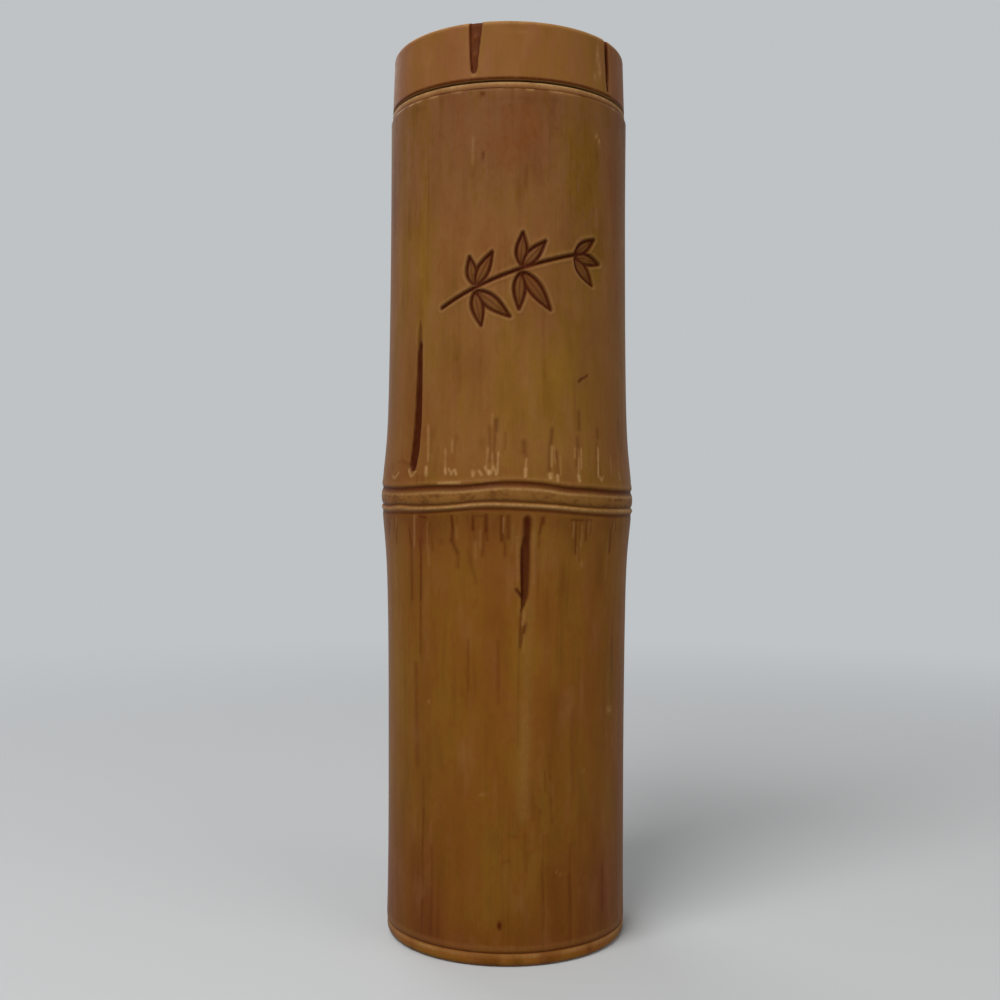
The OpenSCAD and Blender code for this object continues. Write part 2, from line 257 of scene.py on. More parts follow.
strokeLook = {
    "darkSpread": 0.16, "paleSpread": 0.06,      # added to the half widths
    "darkDepth": 0.05, "paleRise": 0.06,
    "paleUnderNode": 0.55, "darkAboveNode": 0.72,      # shares of their strength there
}
darkStrokes = [
    # flames, legs and hairlines above the node; the flames' dark tops are stain and painted shade
    (-2.5, 129, -2.5, 126.3, 0.45, 1), (-2.6, 126.6, -3, 122.2, 0.22, 0.8),
    (-3, 122.2, -2.3, 118.8, 0.2, 0.7), (-4.1, 127.6, -3.8, 119.2, 0.24, 0.7),
    (-0.4, 125.9, -0.4, 122.2, 0.18, 0.5), (-12.5, 124, -12.4, 120.8, 0.2, 0.4),
    (-5.7, 124, -5.7, 122.6, 0.8, 0.35), (-18.2, 127.2, -18.2, 125, 0.55, 0.3),
    (-12.1, 125, -12.1, 124.4, 0.45, 0.3), (-18.8, 126.4, -18.9, 121.6, 0.24, 0.35),
    (3.8, 123.9, 3.9, 121.4, 0.5, 0.9), (4, 121.6, 4.3, 120.1, 0.28, 0.7),
    (10.6, 127, 10.2, 123.6, 0.4, 1), (9.9, 123.4, 9.6, 117.1, 0.28, 0.9),
    (9.7, 118.2, 9.6, 117.2, 0.45, 0.6), (11.4, 121.7, 11.6, 120, 0.34, 0.9),
    (11.7, 120, 11.9, 116.2, 0.2, 0.7), (11.1, 118.3, 11.2, 116.2, 0.28, 0.5),
    (17.8, 131.3, 17.8, 127.2, 0.36, 0.8), (17.3, 124.9, 17.3, 123, 0.5, 0.9),
    (16.9, 122.4, 16.6, 118.4, 0.22, 0.7), (23.7, 127.2, 23.6, 125.4, 0.38, 0.8),
    (23.1, 124, 22.4, 116.4, 0.38, 0.45), (23.6, 118, 23.8, 116.1, 0.28, 0.45),
    (33.2, 130, 32.4, 124, 0.34, 0.55), (35, 125.3, 34.3, 122.2, 0.45, 0.6),
    (3.6, 131, 3.6, 126.6, 0.4, 0.2), (-30.9, 119.5, -28.6, 119.6, 0.16, 0.6),
    (-28.6, 119.6, -25.9, 118.9, 0.16, 0.8), (-33.3, 118.6, -33.2, 118.2, 0.6, 0.5),
    (-22.6, 115.9, -22.4, 113.9, 0.2, 0.6), (-20.8, 115.6, -20.8, 114.2, 0.55, 0.35),
    (-26, 119, -26.3, 116.6, 0.2, 0.4), (-25.3, 131, -26.2, 120.5, 0.18, 0.35),
    (-24.9, 148, -25.3, 131, 0.18, 0.35),
    # slots and drips under the node, darkest at their upper ends as stain and painted shade
    (-34.8, 106.1, -36.2, 101.6, 0.3, 0.6), (-31.7, 106.1, -32.4, 102.6, 0.34, 0.6),
    (-30.7, 104.3, -31.9, 99.8, 0.25, 0.7), (-33.4, 105.9, -34.2, 103, 0.25, 0.5),
    (-28, 105.8, -24.4, 105.8, 1.3, 0.45), (-25.5, 103.2, -25.3, 99.2, 0.34, 0.7),
    (-25.3, 99.2, -25.7, 86, 0.28, 0.6), (-21.9, 106.2, -19.8, 105.9, 0.36, 1),
    (-22, 106.2, -22.2, 104.4, 0.34, 0.6), (-21.4, 103.6, -21.6, 100.4, 0.8, 0.4),
    (-22, 100.4, -22.5, 86, 0.26, 0.8), (-22.5, 86, -22.8, 73, 0.24, 0.4),
    (-19.8, 105, -19.3, 102, 0.2, 0.3), (-18.6, 104, -18.2, 98, 0.25, 0.3),
    (-16.2, 100.8, -15.8, 100, 0.8, 0.3), (-12.8, 106.3, -12.6, 103, 0.36, 1),
    (-12.6, 103.2, -13, 100.4, 0.46, 0.8), (-12.9, 100.4, -11.6, 97.4, 0.38, 0.7),
    (-11.6, 97.8, -11.6, 94.2, 0.28, 0.4), (-11.4, 106.3, -11.5, 104.7, 0.22, 0.5),
    (-7.7, 106.5, -7.7, 103.2, 0.4, 1), (-7.6, 103, -7.2, 100.4, 0.3, 0.4),
    (-6.9, 106.4, -5.2, 106.4, 0.28, 0.7), (-4.7, 106.5, -4.7, 102.8, 0.48, 1),
    (-4.6, 102.8, -4.5, 100.8, 0.28, 0.7), (-5.3, 102.4, -5.6, 97, 0.22, 0.5),
    (-1.2, 106.3, -1.1, 100.8, 0.32, 1), (-0.6, 101.6, -0.3, 97, 0.22, 0.6),
    (0.3, 106.4, 0.4, 101.4, 0.45, 0.7), (-1.9, 106.4, -2, 104.8, 0.28, 0.4),
    (-8.8, 98, -8.2, 94.8, 0.45, 0.3), (-8.2, 94.8, -7.2, 90.8, 0.4, 0.35),
    (8.2, 105.9, 8.2, 104.8, 0.42, 0.9), (7.9, 104.8, 7.4, 102, 0.25, 0.8),
    (7.4, 102, 7.4, 99.1, 0.2, 0.5), (15.3, 105.5, 20.9, 105.4, 0.34, 0.8),
    (16.4, 105, 16.8, 97.6, 0.28, 0.7), (15.5, 105.2, 15.6, 102.7, 0.24, 0.5),
    (17.6, 104.8, 17.8, 101.2, 0.2, 0.5), (19.3, 104.7, 19.6, 100.6, 0.22, 0.7),
    (18.5, 104.7, 18.6, 102.5, 0.18, 0.4), (20.8, 105.2, 20.7, 102.6, 0.22, 0.7),
    (17.3, 99.3, 17.6, 95.8, 0.18, 0.5), (29, 105.5, 28.1, 102.9, 0.25, 0.7),
    (28.1, 102.9, 28.3, 97.6, 0.3, 0.8), (29.9, 105.4, 30.3, 102.8, 0.25, 0.5),
    (36.4, 105.3, 36.9, 101.2, 0.25, 0.6), (24.5, 99, 24.8, 90, 1.4, 0.22),
    (4.6, 106, 4.7, 104.4, 0.85, 1), (4.75, 104.6, 4.6, 99.8, 0.4, 0.8),
    (3.4, 84.2, 3.1, 75.6, 0.17, 0.9), (2.2, 89, 3.3, 87.6, 0.28, 1),
    (4.4, 80.8, 3.9, 78.8, 0.44, 1), (3.9, 78.8, 3.2, 75.6, 0.3, 0.9),
    # long lines and single marks elsewhere
    (-21.7, 43, -21.5, 35, 0.3, 0.4), (-21.6, 35.5, -22, 24, 0.36, 0.55),
    (-21.9, 24, -21.6, 15, 0.44, 0.45), (-21.8, 15, -22.1, 5, 0.34, 0.55),
    (-19, 27, -18.7, 17, 0.4, 0.3), (-18.8, 17, -19.1, 6, 0.5, 0.45),
    (-23.6, 34, -23.2, 22, 0.3, 0.3), (-23.3, 21, -23.7, 10, 0.3, 0.4),
    (-16.8, 20, -16.9, 5, 0.4, 0.35), (-24.4, 70, -24, 46, 0.7, 0.4), (9.1, 32, 8.9, 21, 0.28, 0.4),
    (8.9, 21, 9.2, 12, 0.34, 0.5), (9.1, 11.5, 9, 5, 0.28, 0.35), (16.2, 28, 16, 20, 0.3, 0.35),
    (16, 20.5, 16.3, 12, 0.38, 0.6), (16.3, 12, 16.2, 5, 0.3, 0.4), (16.8, 60, 16.9, 40, 0.6, 0.28),
    (11, 40, 11.2, 34, 0.4, 0.5), (9.4, 46, 9.6, 41, 0.3, 0.45), (10.6, 50, 10.9, 37, 0.9, 0.36),
    (4.6, 31, 5, 23, 0.6, 0.3), (-9, 77, -9.1, 65, 0.26, 0.4), (-1.9, 77, -1.8, 62, 0.3, 0.35),
    (3, 75, 2.9, 52, 0.26, 0.3), (6.5, 44, 6.6, 35, 0.5, 0.3), (31, 76, 31.2, 61, 0.4, 0.3),
    (27, 21, 27, 10, 0.45, 0.5), (-23.3, 163, -23, 152, 0.7, 0.25),
    (-11.6, 158, -11.5, 136, 0.3, 0.25), (-6.4, 150, -6.3, 130, 0.34, 0.2),
    (19.3, 151, 19.3, 140, 0.4, 0.3), (8.6, 156, 8.7, 130, 0.3, 0.25),
    (18, 138.7, 18.7, 139.3, 0.3, 1.6), (18.7, 139.3, 20.5, 140.2, 0.2, 1.6),
    (-1.4, 10.3, -1.3, 9.6, 0.34, 1.7), (-6, 192, -6, 191.2, 0.16, 1.3),
    (0.2, 203, 1, 202.8, 0.22, 0.8), (12, 205.3, -7, 205.6, 0.4, 0.4),
    (-6.5, 206.4, -5.8, 206.3, 0.18, 1.3), (4.6, 204.6, 9, 204.2, 0.5, 0.35),
    (-30, 204.6, -22, 205.2, 0.35, 0.3),
    # soft broad stains
    (-21.4, 78, -21, 4, 1.5, 0.16), (-16.5, 32, -16.5, 4, 2.2, 0.14),
    (11.8, 62, 11.6, 8, 2.6, 0.24), (6, 12, 6, 5, 3, 0.2), (19, 152, 19, 138, 2.2, 0.26),
    (18.5, 198, 18, 160, 4.2, 0.26), (-9, 9, -9, 5, 4, 0.12), (12, 172, 12, 150, 2.2, 0.12),
    (-24, 24, -24, 6, 3, 0.24), (20, 22, 20, 5, 2.4, 0.16), (-27, 168, -27, 158, 3, 0.12),
    (-37.5, 206, -37.5, 178, 3, 0.22), (4, 107, 4, 98, 3, 0.14), (-11.5, 48, -11.5, 42, 2, 0.14),
    (4.3, 189, 4.2, 184, 0.22, 0.35), (22.5, 189.5, 23.6, 186, 0.3, 0.35),
    (19.8, 190.5, 19.4, 183, 0.4, 0.3), (23.2, 196.5, 24.2, 193.5, 0.26, 0.4),
    (-17.5, 197.5, -16.2, 196.8, 0.22, 0.4), (11.5, 198.6, 12.4, 198.2, 0.2, 0.5),
]
paleStrokes = [
    # tips and legs above the node: wear, and painted highlights on the tips and along lips
    (-20, 128, -19.5, 119.6, 0.32, 0.4), (-19.9, 117.8, -19.8, 116.2, 0.42, 0.9),
    (-14.7, 122.2, -14.5, 117.8, 0.28, 0.4), (-14.5, 117.6, -14.4, 116.4, 0.32, 0.8),
    (-13, 124.2, -12.9, 121.4, 0.36, 0.3), (-13.6, 117.5, -12.9, 116.3, 0.2, 0.8),
    (-12.3, 117.4, -12.9, 116.3, 0.2, 0.7), (-12.9, 116.8, -12.9, 116.3, 0.32, 0.9),
    (-12, 117.2, -11.7, 116.2, 0.26, 0.8), (-7.8, 117, -7.7, 115.8, 0.28, 0.7),
    (-7.1, 116.9, -7.5, 115.9, 0.2, 0.5), (-6.3, 117, -5.7, 116.1, 0.26, 0.7),
    (-4.9, 117.9, -4.2, 116.3, 0.22, 0.9), (-4, 117, -4, 116.2, 0.26, 1),
    (-3.1, 118, -3.7, 116.3, 0.22, 0.9), (-3, 117.8, -2.4, 116.2, 0.22, 0.9),
    (-2, 121.4, -2.1, 116.6, 0.2, 0.7), (-4.4, 122.4, -4.6, 118.2, 0.28, 0.4),
    (-3.4, 121, -3.3, 118.2, 0.2, 0.4), (-3.4, 130.4, -3.6, 127.4, 0.24, 0.25),
    (4.35, 120, 4.2, 117.8, 0.18, 0.6), (4.2, 117.6, 4.1, 115.7, 0.34, 0.95),
    (10.4, 122.8, 10.3, 118.2, 0.28, 0.5), (11, 122.6, 11.1, 119.2, 0.2, 0.3),
    (9.9, 116.2, 9.9, 115.5, 0.46, 0.95), (11.6, 116, 11.6, 114.7, 0.34, 0.8),
    (12.4, 120.8, 12.4, 116.2, 0.2, 0.3), (16.5, 122.7, 16.3, 120.4, 0.2, 0.5),
    (18.2, 122.6, 18, 117.8, 0.22, 0.5), (17.4, 120.3, 17.2, 116.8, 0.24, 0.4),
    (17.1, 116, 17.3, 114.9, 0.38, 0.95), (23.6, 122.8, 23.1, 116.1, 0.24, 0.8),
    (23.6, 115.8, 24.1, 115.1, 0.28, 0.7), (24.9, 116, 24.3, 115.1, 0.24, 0.5),
    (-29.8, 116.9, -31.7, 115.5, 0.22, 0.6), (-33.2, 116.2, -31.9, 115.5, 0.22, 0.6),
    (-25.8, 117.4, -24.7, 115.9, 0.28, 0.7), (-23.2, 117, -24.3, 116, 0.26, 0.6),
    (-16.2, 114.2, -10.8, 114.3, 0.28, 0.8), (-6, 114.5, -2, 114.9, 0.24, 0.3),
    (31.9, 116.8, 32.2, 115.6, 0.3, 0.4), (28.3, 121, 28.2, 117, 0.26, 0.3),
    # beside the slots under the node
    (-23.4, 106.4, -24.2, 98.8, 0.28, 0.6), (-30.9, 105.7, -31.4, 103.6, 0.2, 0.5),
    (-33.5, 105.3, -35, 100.8, 0.2, 0.4), (-19.5, 104.6, -20, 97.4, 0.2, 0.3),
    (-19.7, 99, -19.5, 94.6, 0.34, 0.3), (-11.9, 103.6, -11.6, 101.4, 0.28, 0.25),
    (-7.2, 100.4, -7.2, 96.6, 0.34, 0.3), (-6.1, 102.8, -6.1, 99, 0.36, 0.25),
    (-0.75, 106, -0.8, 102.6, 0.17, 0.5), (2.4, 101.4, 2.6, 91.5, 0.42, 0.35),
    (6.2, 102.4, 6.3, 90.5, 0.42, 0.35), (1.4, 104, 1.2, 98.2, 0.38, 0.2),
    (15.9, 105, 15.9, 101.4, 0.18, 0.5), (18.3, 104.2, 18.2, 99.2, 0.17, 0.5),
    (20.4, 105.2, 20.3, 102.7, 0.16, 0.5), (17.2, 99.1, 17.4, 95.8, 0.16, 0.4),
    (18.8, 95.2, 18.9, 94.4, 0.46, 0.4), (27.3, 100, 27.4, 91, 0.25, 0.25),
    (29.4, 105.2, 29.2, 103.1, 0.2, 0.4), (5.9, 86.5, 5.6, 82, 0.3, 0.2),
    (4.3, 83.6, 3.9, 81, 0.44, 0.5), (4.2, 78.4, 4, 74, 0.4, 0.3),
    # scuffs elsewhere
    (29.2, 58.9, 30.4, 58.7, 0.55, 0.9), (-20, 61.7, -19.9, 61.4, 0.24, 0.7),
    (-6.8, 40.2, -4.6, 41, 0.18, 0.4), (19, 45.5, 20.4, 45.1, 0.2, 0.4),
    (38.4, 175.6, 38.5, 174.8, 0.35, 0.5), (23.4, 199, 23.8, 198.4, 0.3, 0.7),
    (24.6, 197.6, 24.9, 197, 0.26, 0.7), (-8.5, 196, -8.5, 190, 0.3, 0.2),
    (12.4, 22, 13.6, 21.2, 0.16, 0.3), (28.6, 53, 28.8, 52.4, 0.3, 0.4),
    (5.2, 84, 5, 62, 1.3, 0.16), (4.6, 62, 4.4, 36, 1.5, 0.24),
]
# arc, height, reach round, reach up, amount: above 0 towards yellow, below 0 towards red
tonePatches = [
    (19, 190, 6, 14, 1.0), (23, 172, 4, 14, 0.8), (12, 138, 8, 14, 0.9), (-24, 168, 6, 20, 0.3),
    (4, 76, 4, 12, 0.6), (-32, 72, 5, 16, 0.5), (3, 26, 8, 9, 0.6), (9, 100, 9, 7, 0.2),
    (-38, 190, 3, 22, -0.6), (-35, 12, 8, 12, -0.8), (28, 14, 9, 12, -0.9), (31, 60, 8, 20, -0.4),
    (0, 5, 30, 4, -0.5), (3, 195, 7, 9, -0.7), (33, 188, 5, 12, -0.5), (-19, 10, 4, 8, -0.7),
    (-22, 101, 5, 4, -0.8), (-9, 102, 7, 5, -0.6), (30, 122, 5, 6, -0.5), (4.6, 105, 2, 2, -0.9),
    (-28, 118, 4, 4, -0.5), (18, 102, 4, 4, -0.4), (60, 150, 12, 30, 0.5), (75, 60, 12, 25, -0.4),
    (-62, 160, 10, 30, 0.4), (-70, 40, 12, 25, 0.4), (95, 110, 8, 20, -0.4), (90, 30, 10, 15, 0.5),
    (11, 16, 4, 12, -0.6), (-24, 16, 4, 12, -0.4),
]
# arc, height, reach round, reach up, amount of yellow islands with a darker edge
islandPatches = [
    (19, 187, 5, 14, 1.3), (24, 171, 4, 9, 1.0), (2, 28, 6, 8, 1.3), (9, 37, 4, 8, 0.8),
    (-27, 187, 6, 12, 0.5), (2, 203, 12, 3, 0.6), (-12, 60, 8, 12, 0.35), (12, 128, 7, 8, 0.4),
    (70, 180, 9, 14, 0.8), (-75, 120, 9, 14, 0.7), (50, 30, 8, 10, 0.8), (-50, 70, 8, 12, 0.5),
]
islandNoise = ((1.0, 58, 6.5, 42), (0.6, 150, 2.6, 43))
# outline in arc and height, depth, wash inside, how far inside the wash is full
slotLeft = [(3.2, 99), (3.15, 94), (3.3, 87.6), (3.4, 83.6)]
culmSplits = [
    {   # above the node
        "outline": [
            (-22.9, 148.6), (-22.4, 147.8), (-22.3, 140), (-22.2, 130.7), (-22.6, 121.4),
            (-23.1, 118.6), (-23.5, 117.2), (-24.8, 117), (-25.7, 118.4), (-25.5, 121),
            (-25, 127), (-24.6, 134), (-24.4, 140), (-24.3, 145), (-24.1, 147.4), (-23.6, 148.6),
        ],
        "depth": 0.75, "washAndShade": 0.98, "soft": 0.2,
    },
    {   # its faded upper end
        "outline": [
            (-24.3, 146.5), (-24.1, 150.4), (-23.6, 153.2), (-23, 153.8), (-22.5, 151), (-22.3, 146.5),
        ],
        "depth": 0.15, "washAndShade": 0.55, "soft": 0.4,
    },
    {   # below the node: the whole channel, from the ring down
        "outline": [
            (3.7, 105.9), (3.55, 103.4), (3.35, 101), *slotLeft, (4.4, 84.7), (5.35, 87.3),
            (5.6, 90), (5.7, 94), (5.7, 99), (5.75, 103), (5.6, 105.9), (4.7, 106.5),
        ],
        "depth": 0.25, "washAndShade": 0.88, "soft": 0.7,
    },
    {   # below the node: the opening in it
        "outline": [
            (3.8, 101.4), *slotLeft, (4.2, 84.8), (5.1, 87.3), (5.3, 90), (5.3, 94), (5, 98.4),
            (4.4, 101.6),
        ],
        "depth": 0.3, "washAndShade": 0.84, "soft": 0.25,
    },
    {   # below the node: its deep left side
        "outline": [*slotLeft, (4.1, 87.2), (4.2, 92.4), (3.9, 99)],
        "depth": 0.2, "washAndShade": 1.0, "soft": 0.3,
    },
    {   # a nick beside it
        "outline": [(2, 89.3), (2.5, 89.4), (3.5, 88.1), (3.4, 87.4)],
        "depth": 0.12, "washAndShade": 0.95, "soft": 0.15,
    },
]
# the marks of the cup's other sides: first arc, how many, how far each strays from an even row
otherSides = {"flames": (42, 19, 2.4), "drips": (41, 26, 1.9), "single": (42, 16, 2.5)}


def randomMarks():
    # flames above the node and drips below it for the part of the cup that isn't in the photograph
    rng = np.random.default_rng(5)
    dark, pale = [], []

    def places(kind):
        start, count, stray = otherSides[kind]
        row = np.linspace(start, 2 * math.pi * arcRadius - start, count)
        return row + rng.uniform(-stray, stray, count)

    for at in places("flames"):
        tip, top = rng.uniform(115.3, 116.2), rng.uniform(119.5, 130.0)
        lean, strength = rng.uniform(-0.4, 0.4), rng.uniform(0.3, 1.0)
        # each flame: a dark top of stain and painted shade, a pale tip of wear and painted highlight
        dark.append((at + lean, top, at, top - 3.0, 0.42, strength))
        dark.append((at - 0.5, top - 3.0, at - 0.6, tip + 1.4, 0.22, 0.8 * strength))
        pale.append((at + 0.1, top - 3.6, at, tip + 1.8, 0.22, 0.45 * strength))
        pale.append((at - 0.1, tip + 0.9, at, tip, 0.36, strength))
        if rng.random() < 0.5:
            pale.append((at + 0.9, tip + 1.4, at + 0.6, tip + 0.2, 0.24, 0.7 * strength))
    for at in places("drips"):
        foot, strength = rng.uniform(93.0, 103.5), rng.uniform(0.3, 1.0)
        bend = rng.uniform(-0.6, 0.6)
        # each drip: a dark top of stain and painted shade
        dark.append((at, 106.0, at, 104.4, 0.4, strength))
        dark.append((at, 104.6, at + bend, foot, 0.26, 0.85 * strength))
        pale.append((at + 0.6, 105.6, at + 0.6 + bend, foot + 1.5, 0.2, 0.5 * strength))
        if rng.random() < 0.35:
            dark.append((at + bend, foot, at + bend, foot - rng.uniform(8, 30), 0.26, 0.35))
    for at in places("single"):
        top, level = rng.uniform(25, 200), rng.uniform(20, 195)
        dark.append((at, top, at + 0.2, top - rng.uniform(8, 30), rng.uniform(0.25, 0.6), 0.35))
        pale.append((at + 2.0, level, at + 2.8, level - 0.5, 0.3, 0.5))
    return dark, pale


sprig = {
    "arc": 0.5, "height": 163.5,
    "grooveWidth": 0.42, "grooveDepth": 0.55, "lipAt": 0.85, "lipWidth": 0.35, "lipOut": 0.16,
    "veinWidth": 0.26, "veinDepth": 0.18, "leafDepth": 0.14,
    "stem": ((-17.0, -7.5), (-3.0, 0.5), (16.5, 5.5)),       # start, pull, end
    "joints": (0.28, 0.62, 0.98),
    # joint, direction in degrees, length, width
    "leaves": (
        (0, -78, 9.0, 2.7), (0, -38, 11.0, 2.9), (0, 62, 9.5, 2.7), (0, 98, 7.5, 2.3),
        (1, -92, 9.5, 2.7), (1, -52, 12.0, 3.0), (1, 48, 9.0, 2.6), (1, 86, 8.5, 2.5),
        (2, -48, 9.0, 2.6), (2, -8, 8.5, 2.4), (2, 34, 8.0, 2.3),
    ),
}


def sprigDistances(x, y):
    # distances to the carved lines and to the veins, and how far a place lies inside a leaf;
    # the stem is start * (1 - s)^2 + pull * 2s(1 - s) + end * s^2
    start, pull, end = np.array(sprig["stem"])
    share = np.linspace(0, 1, 15)
    s = share[:, None]
    path = (1 - s) ** 2 * start + 2 * s * (1 - s) * pull + s ** 2 * end
    line = stem = nearestLine(x, y, path)
    leaf, vein = np.zeros(x.shape), np.full(x.shape, 99.0)
    for joint, direction, length, width in sprig["leaves"]:
        at, turned = sprig["joints"][joint], math.radians(direction)
        fromX = x - np.interp(at, share, path[:, 0])
        fromY = y - np.interp(at, share, path[:, 1])
        along = fromX * math.cos(turned) + fromY * math.sin(turned)
        across = -fromX * math.sin(turned) + fromY * math.cos(turned)
        half = width / 2 * np.sin(np.pi * np.clip((along - 1.0) / (length - 1.0), 0, 1) ** 0.8)
        beyond = strongest(1.0 - along, along - length, 0)
        edge = np.hypot(np.abs(np.abs(across) - half), beyond)
        inside = np.where(beyond > 0, 0, np.clip(half - np.abs(across), 0, 1))
        covered = leaf > 0.02                       # leaves carved first lie on top
        middle = np.hypot(across, strongest(1.6 - along, along - 0.8 * length, 0))
        line = np.where(covered, line, np.minimum(line, edge))
        line = np.where((inside > 0.25) & ~covered & (stem < edge), edge, line)
        vein = np.where(covered, vein, np.minimum(vein, middle))
        leaf = np.maximum(leaf, inside)
    return line, vein, leaf


def addSprig(arc, height, relief, marks):
    # a round-bottomed groove along the lines with a low lip beside it, leaves sunk a little
    s = sprig
    line, vein, leaf = sprigDistances(arc - s["arc"], height - s["height"])
    groove = bell(line, s["grooveWidth"])
    lip = bell(line - s["lipAt"], s["lipWidth"]) * (leaf < 0.02)
    relief -= s["grooveDepth"] * groove + s["veinDepth"] * bell(vein, s["veinWidth"])
    relief += s["lipOut"] * lip - s["leafDepth"] * ramp(leaf, 0.0, 0.5)
    lay(marks, "washAndShade", np.minimum(1.4 * groove, 1.0), 0.75 * bell(vein, 0.3))
    lay(marks, "washAndShade", 0.34 * ramp(leaf, 0.0, 0.4))
    # a painted highlight on the lips beside the grooves
    lay(marks, "wornAndHighlight", 0.22 * lip)


# The culm: its plain form, the wandering node ring, and the marks carved and worn into it

def strays(arc, t, crease):
    # how far a crease leaves the ring's path, felt only near that crease
    lift = sum(lift * bell(around(arc, at), reach) for at, reach, lift in culm[crease + "Strays"])
    return lift * bell(t - culm[crease + "Crease"], culm[crease + "Reach"])


def ringHeight(turn, t):
    # a row's height: one to four waves round the cup, and where each crease strays from them
    arc = turn * arcRadius
    waves = sum(
        c * np.cos((k + 1) * turn) + s * np.sin((k + 1) * turn)
        for k, (c, s) in enumerate(zip(culm["cosShares"], culm["sinShares"]))
    )
    lift = culm["wander"] * waves * bell(t, culm["wanderReach"])
    lift = lift + strays(arc, t, "upper") + strays(arc, t, "lower")
    return culm["nodeHeight"] + t + lift


def culmRadius(t):
    # straight culm, plus three bells of growing reach at the node, plus the flare at the foot
    swell = sum(
        share * bell(t, reach) for share, reach in zip(culm["swellShares"], culm["swellReaches"])
    )
    flare = culm["footFlare"] * np.exp(-(culm["nodeHeight"] + t - culm["foot"]) / culm["flareReach"])
    return culm["radius"] + culm["nodeSwell"] * swell + flare


def ringRelief(turn, t):
    # a valley with a steep upper wall, crowned pitted band, thin crease, bead, soft crease below
    flat, near = 0 * t, 60 + 9 * np.clip(t, -3, 3)
    uneven = 1.0 + 0.3 * patchNoise(turn, flat, 26, 4.0, 11)
    valley = ramp(t, ring["valleyFoot"], culm["upperCrease"])
    valley = valley * (1 - ramp(t, culm["upperCrease"], ring["valleyLip"]))
    relief = -ring["valleyDepth"] * uneven * valley
    relief += ring["lipOut"] * bell(t - ring["lipAt"], ring["lipWidth"])
    relief += ring["bandCrown"] * np.clip(1 - (t / ring["bandHalf"]) ** 2, 0, 1)
    relief -= ring["creaseDepth"] * bell(t - culm["lowerCrease"], ring["creaseWidth"])
    bead = ring["beadOut"] * (0.8 + 0.3 * patchNoise(turn, flat, 19, 4.0, 14))
    relief += bead * bell(t - ring["beadAt"], ring["beadWidth"])
    relief -= ring["underDepth"] * uneven * bell(t - ring["underAt"], ring["underWidth"])
    onBand = ramp(t, -2.0, -1.5) * (1 - ramp(t, 0.2, 1.3))
    pits = onBand * np.clip(0.8 * noiseLayers(turn, near, ring["pits"]) + 0.2, 0, 1)
    return relief - ring["pitDepth"] * pits, pits


def ringLines(t, mark):
    return strongest(*(strength * bell(t - at, width) for at, width, strength in ring[mark]))


def ringMarks(turn, height, t, pits, bright):
    # brown wash and painted shade in the creases, brown in the pits, dark clouds under the ring; pale
    # where it is rubbed, with painted highlights on the band's top edge, the bead and the lip
    lower = t - culm["lowerCrease"]
    # wash over the band's lower half: the pits, and painted shade where the band curves under
    bandFoot = (0.2 + 0.5 * pits) * bell(lower - 0.5, 0.6) * ramp(lower, 0.0, 0.1)
    clouds = np.clip(0.5 + noiseLayers(turn, height, ring["clouds"]), 0, 1)
    clouds = 0.62 * clouds * bell(t + 5.5, 3.8) * (t < ring["underAt"])
    return {
        "washAndShade": strongest(ringLines(t, "washAndShade"), 0.5 * pits, bandFoot),
        "stainAndShade": strongest(ringLines(t, "stainAndShade"), clouds),
        "wornAndHighlight": strongest(ringLines(t, "wornAndHighlight") * bright, 0.12 * (np.abs(t) < ring["bandHalf"])),
    }


def addStrokes(arc, height, relief, marks):
    # dark strokes sink in and stain, some with painted shade at their tops; pale ones stand out, show
    # wear and painted highlights, and lose their stain
    look = strokeLook
    for stroke in darkMarks:
        mask = stroke[5] * strokeMask(arc, height, stroke, look["darkSpread"])
        if stroke[1] > culm["nodeHeight"]:
            mask = look["darkAboveNode"] * mask
        relief -= look["darkDepth"] * mask
        lay(marks, "stainAndShade", mask)
        lay(marks, "washAndShade", mask - 1.0)              # only strengths above 1
    for stroke in paleMarks:
        mask = stroke[5] * strokeMask(arc, height, stroke, look["paleSpread"])
        if stroke[1] < culm["nodeHeight"]:
            mask = look["paleUnderNode"] * mask
        relief += look["paleRise"] * mask
        lay(marks, "wornAndHighlight", mask)
        marks["stainAndShade"] = marks["stainAndShade"] * (1 - 0.8 * mask)


def addSplits(turn, arc, height, relief, marks, bright):
    # rough floors washed dark, and a rubbed line beside each split
    rough = 1 + 0.12 * patchNoise(turn, height, 300, 1.2, 31)
    for split in culmSplits:
        inside = -outlineDistance(arc, height, split["outline"])
        relief -= split["depth"] * ramp(inside, -0.12, 0.45) * rough
        lay(marks, "washAndShade", split["washAndShade"] * ramp(inside, -0.12, split["soft"]))
        lay(marks, "wornAndHighlight", 0.12 * bright * bell(inside + 0.6, 0.4))
        marks["wornAndHighlight"] = marks["wornAndHighlight"] * (1 - ramp(inside, -0.1, 0.1))


def addTone(turn, arc, height, marks):
    # slow patches, and islands where the noise passes a level, with a darker line along it
    cells = noiseLayers(turn, height, islandNoise)
    share = sum(spot(arc, height, place) for place in islandPatches)
    lay(marks, "stainAndShade", share * (0.3 * bell(cells - 0.05, 0.1) + 0.3 * ramp(cells, 0.0, 0.3)))
    tone = 0.25 * patchNoise(turn, height, 14, 45.0, 41)
    tone = tone + sum(spot(arc, height, place) for place in tonePatches)
    marks["tone"] = tone + 0.75 * share * (ramp(cells, 0.0, 0.2) - 0.35)


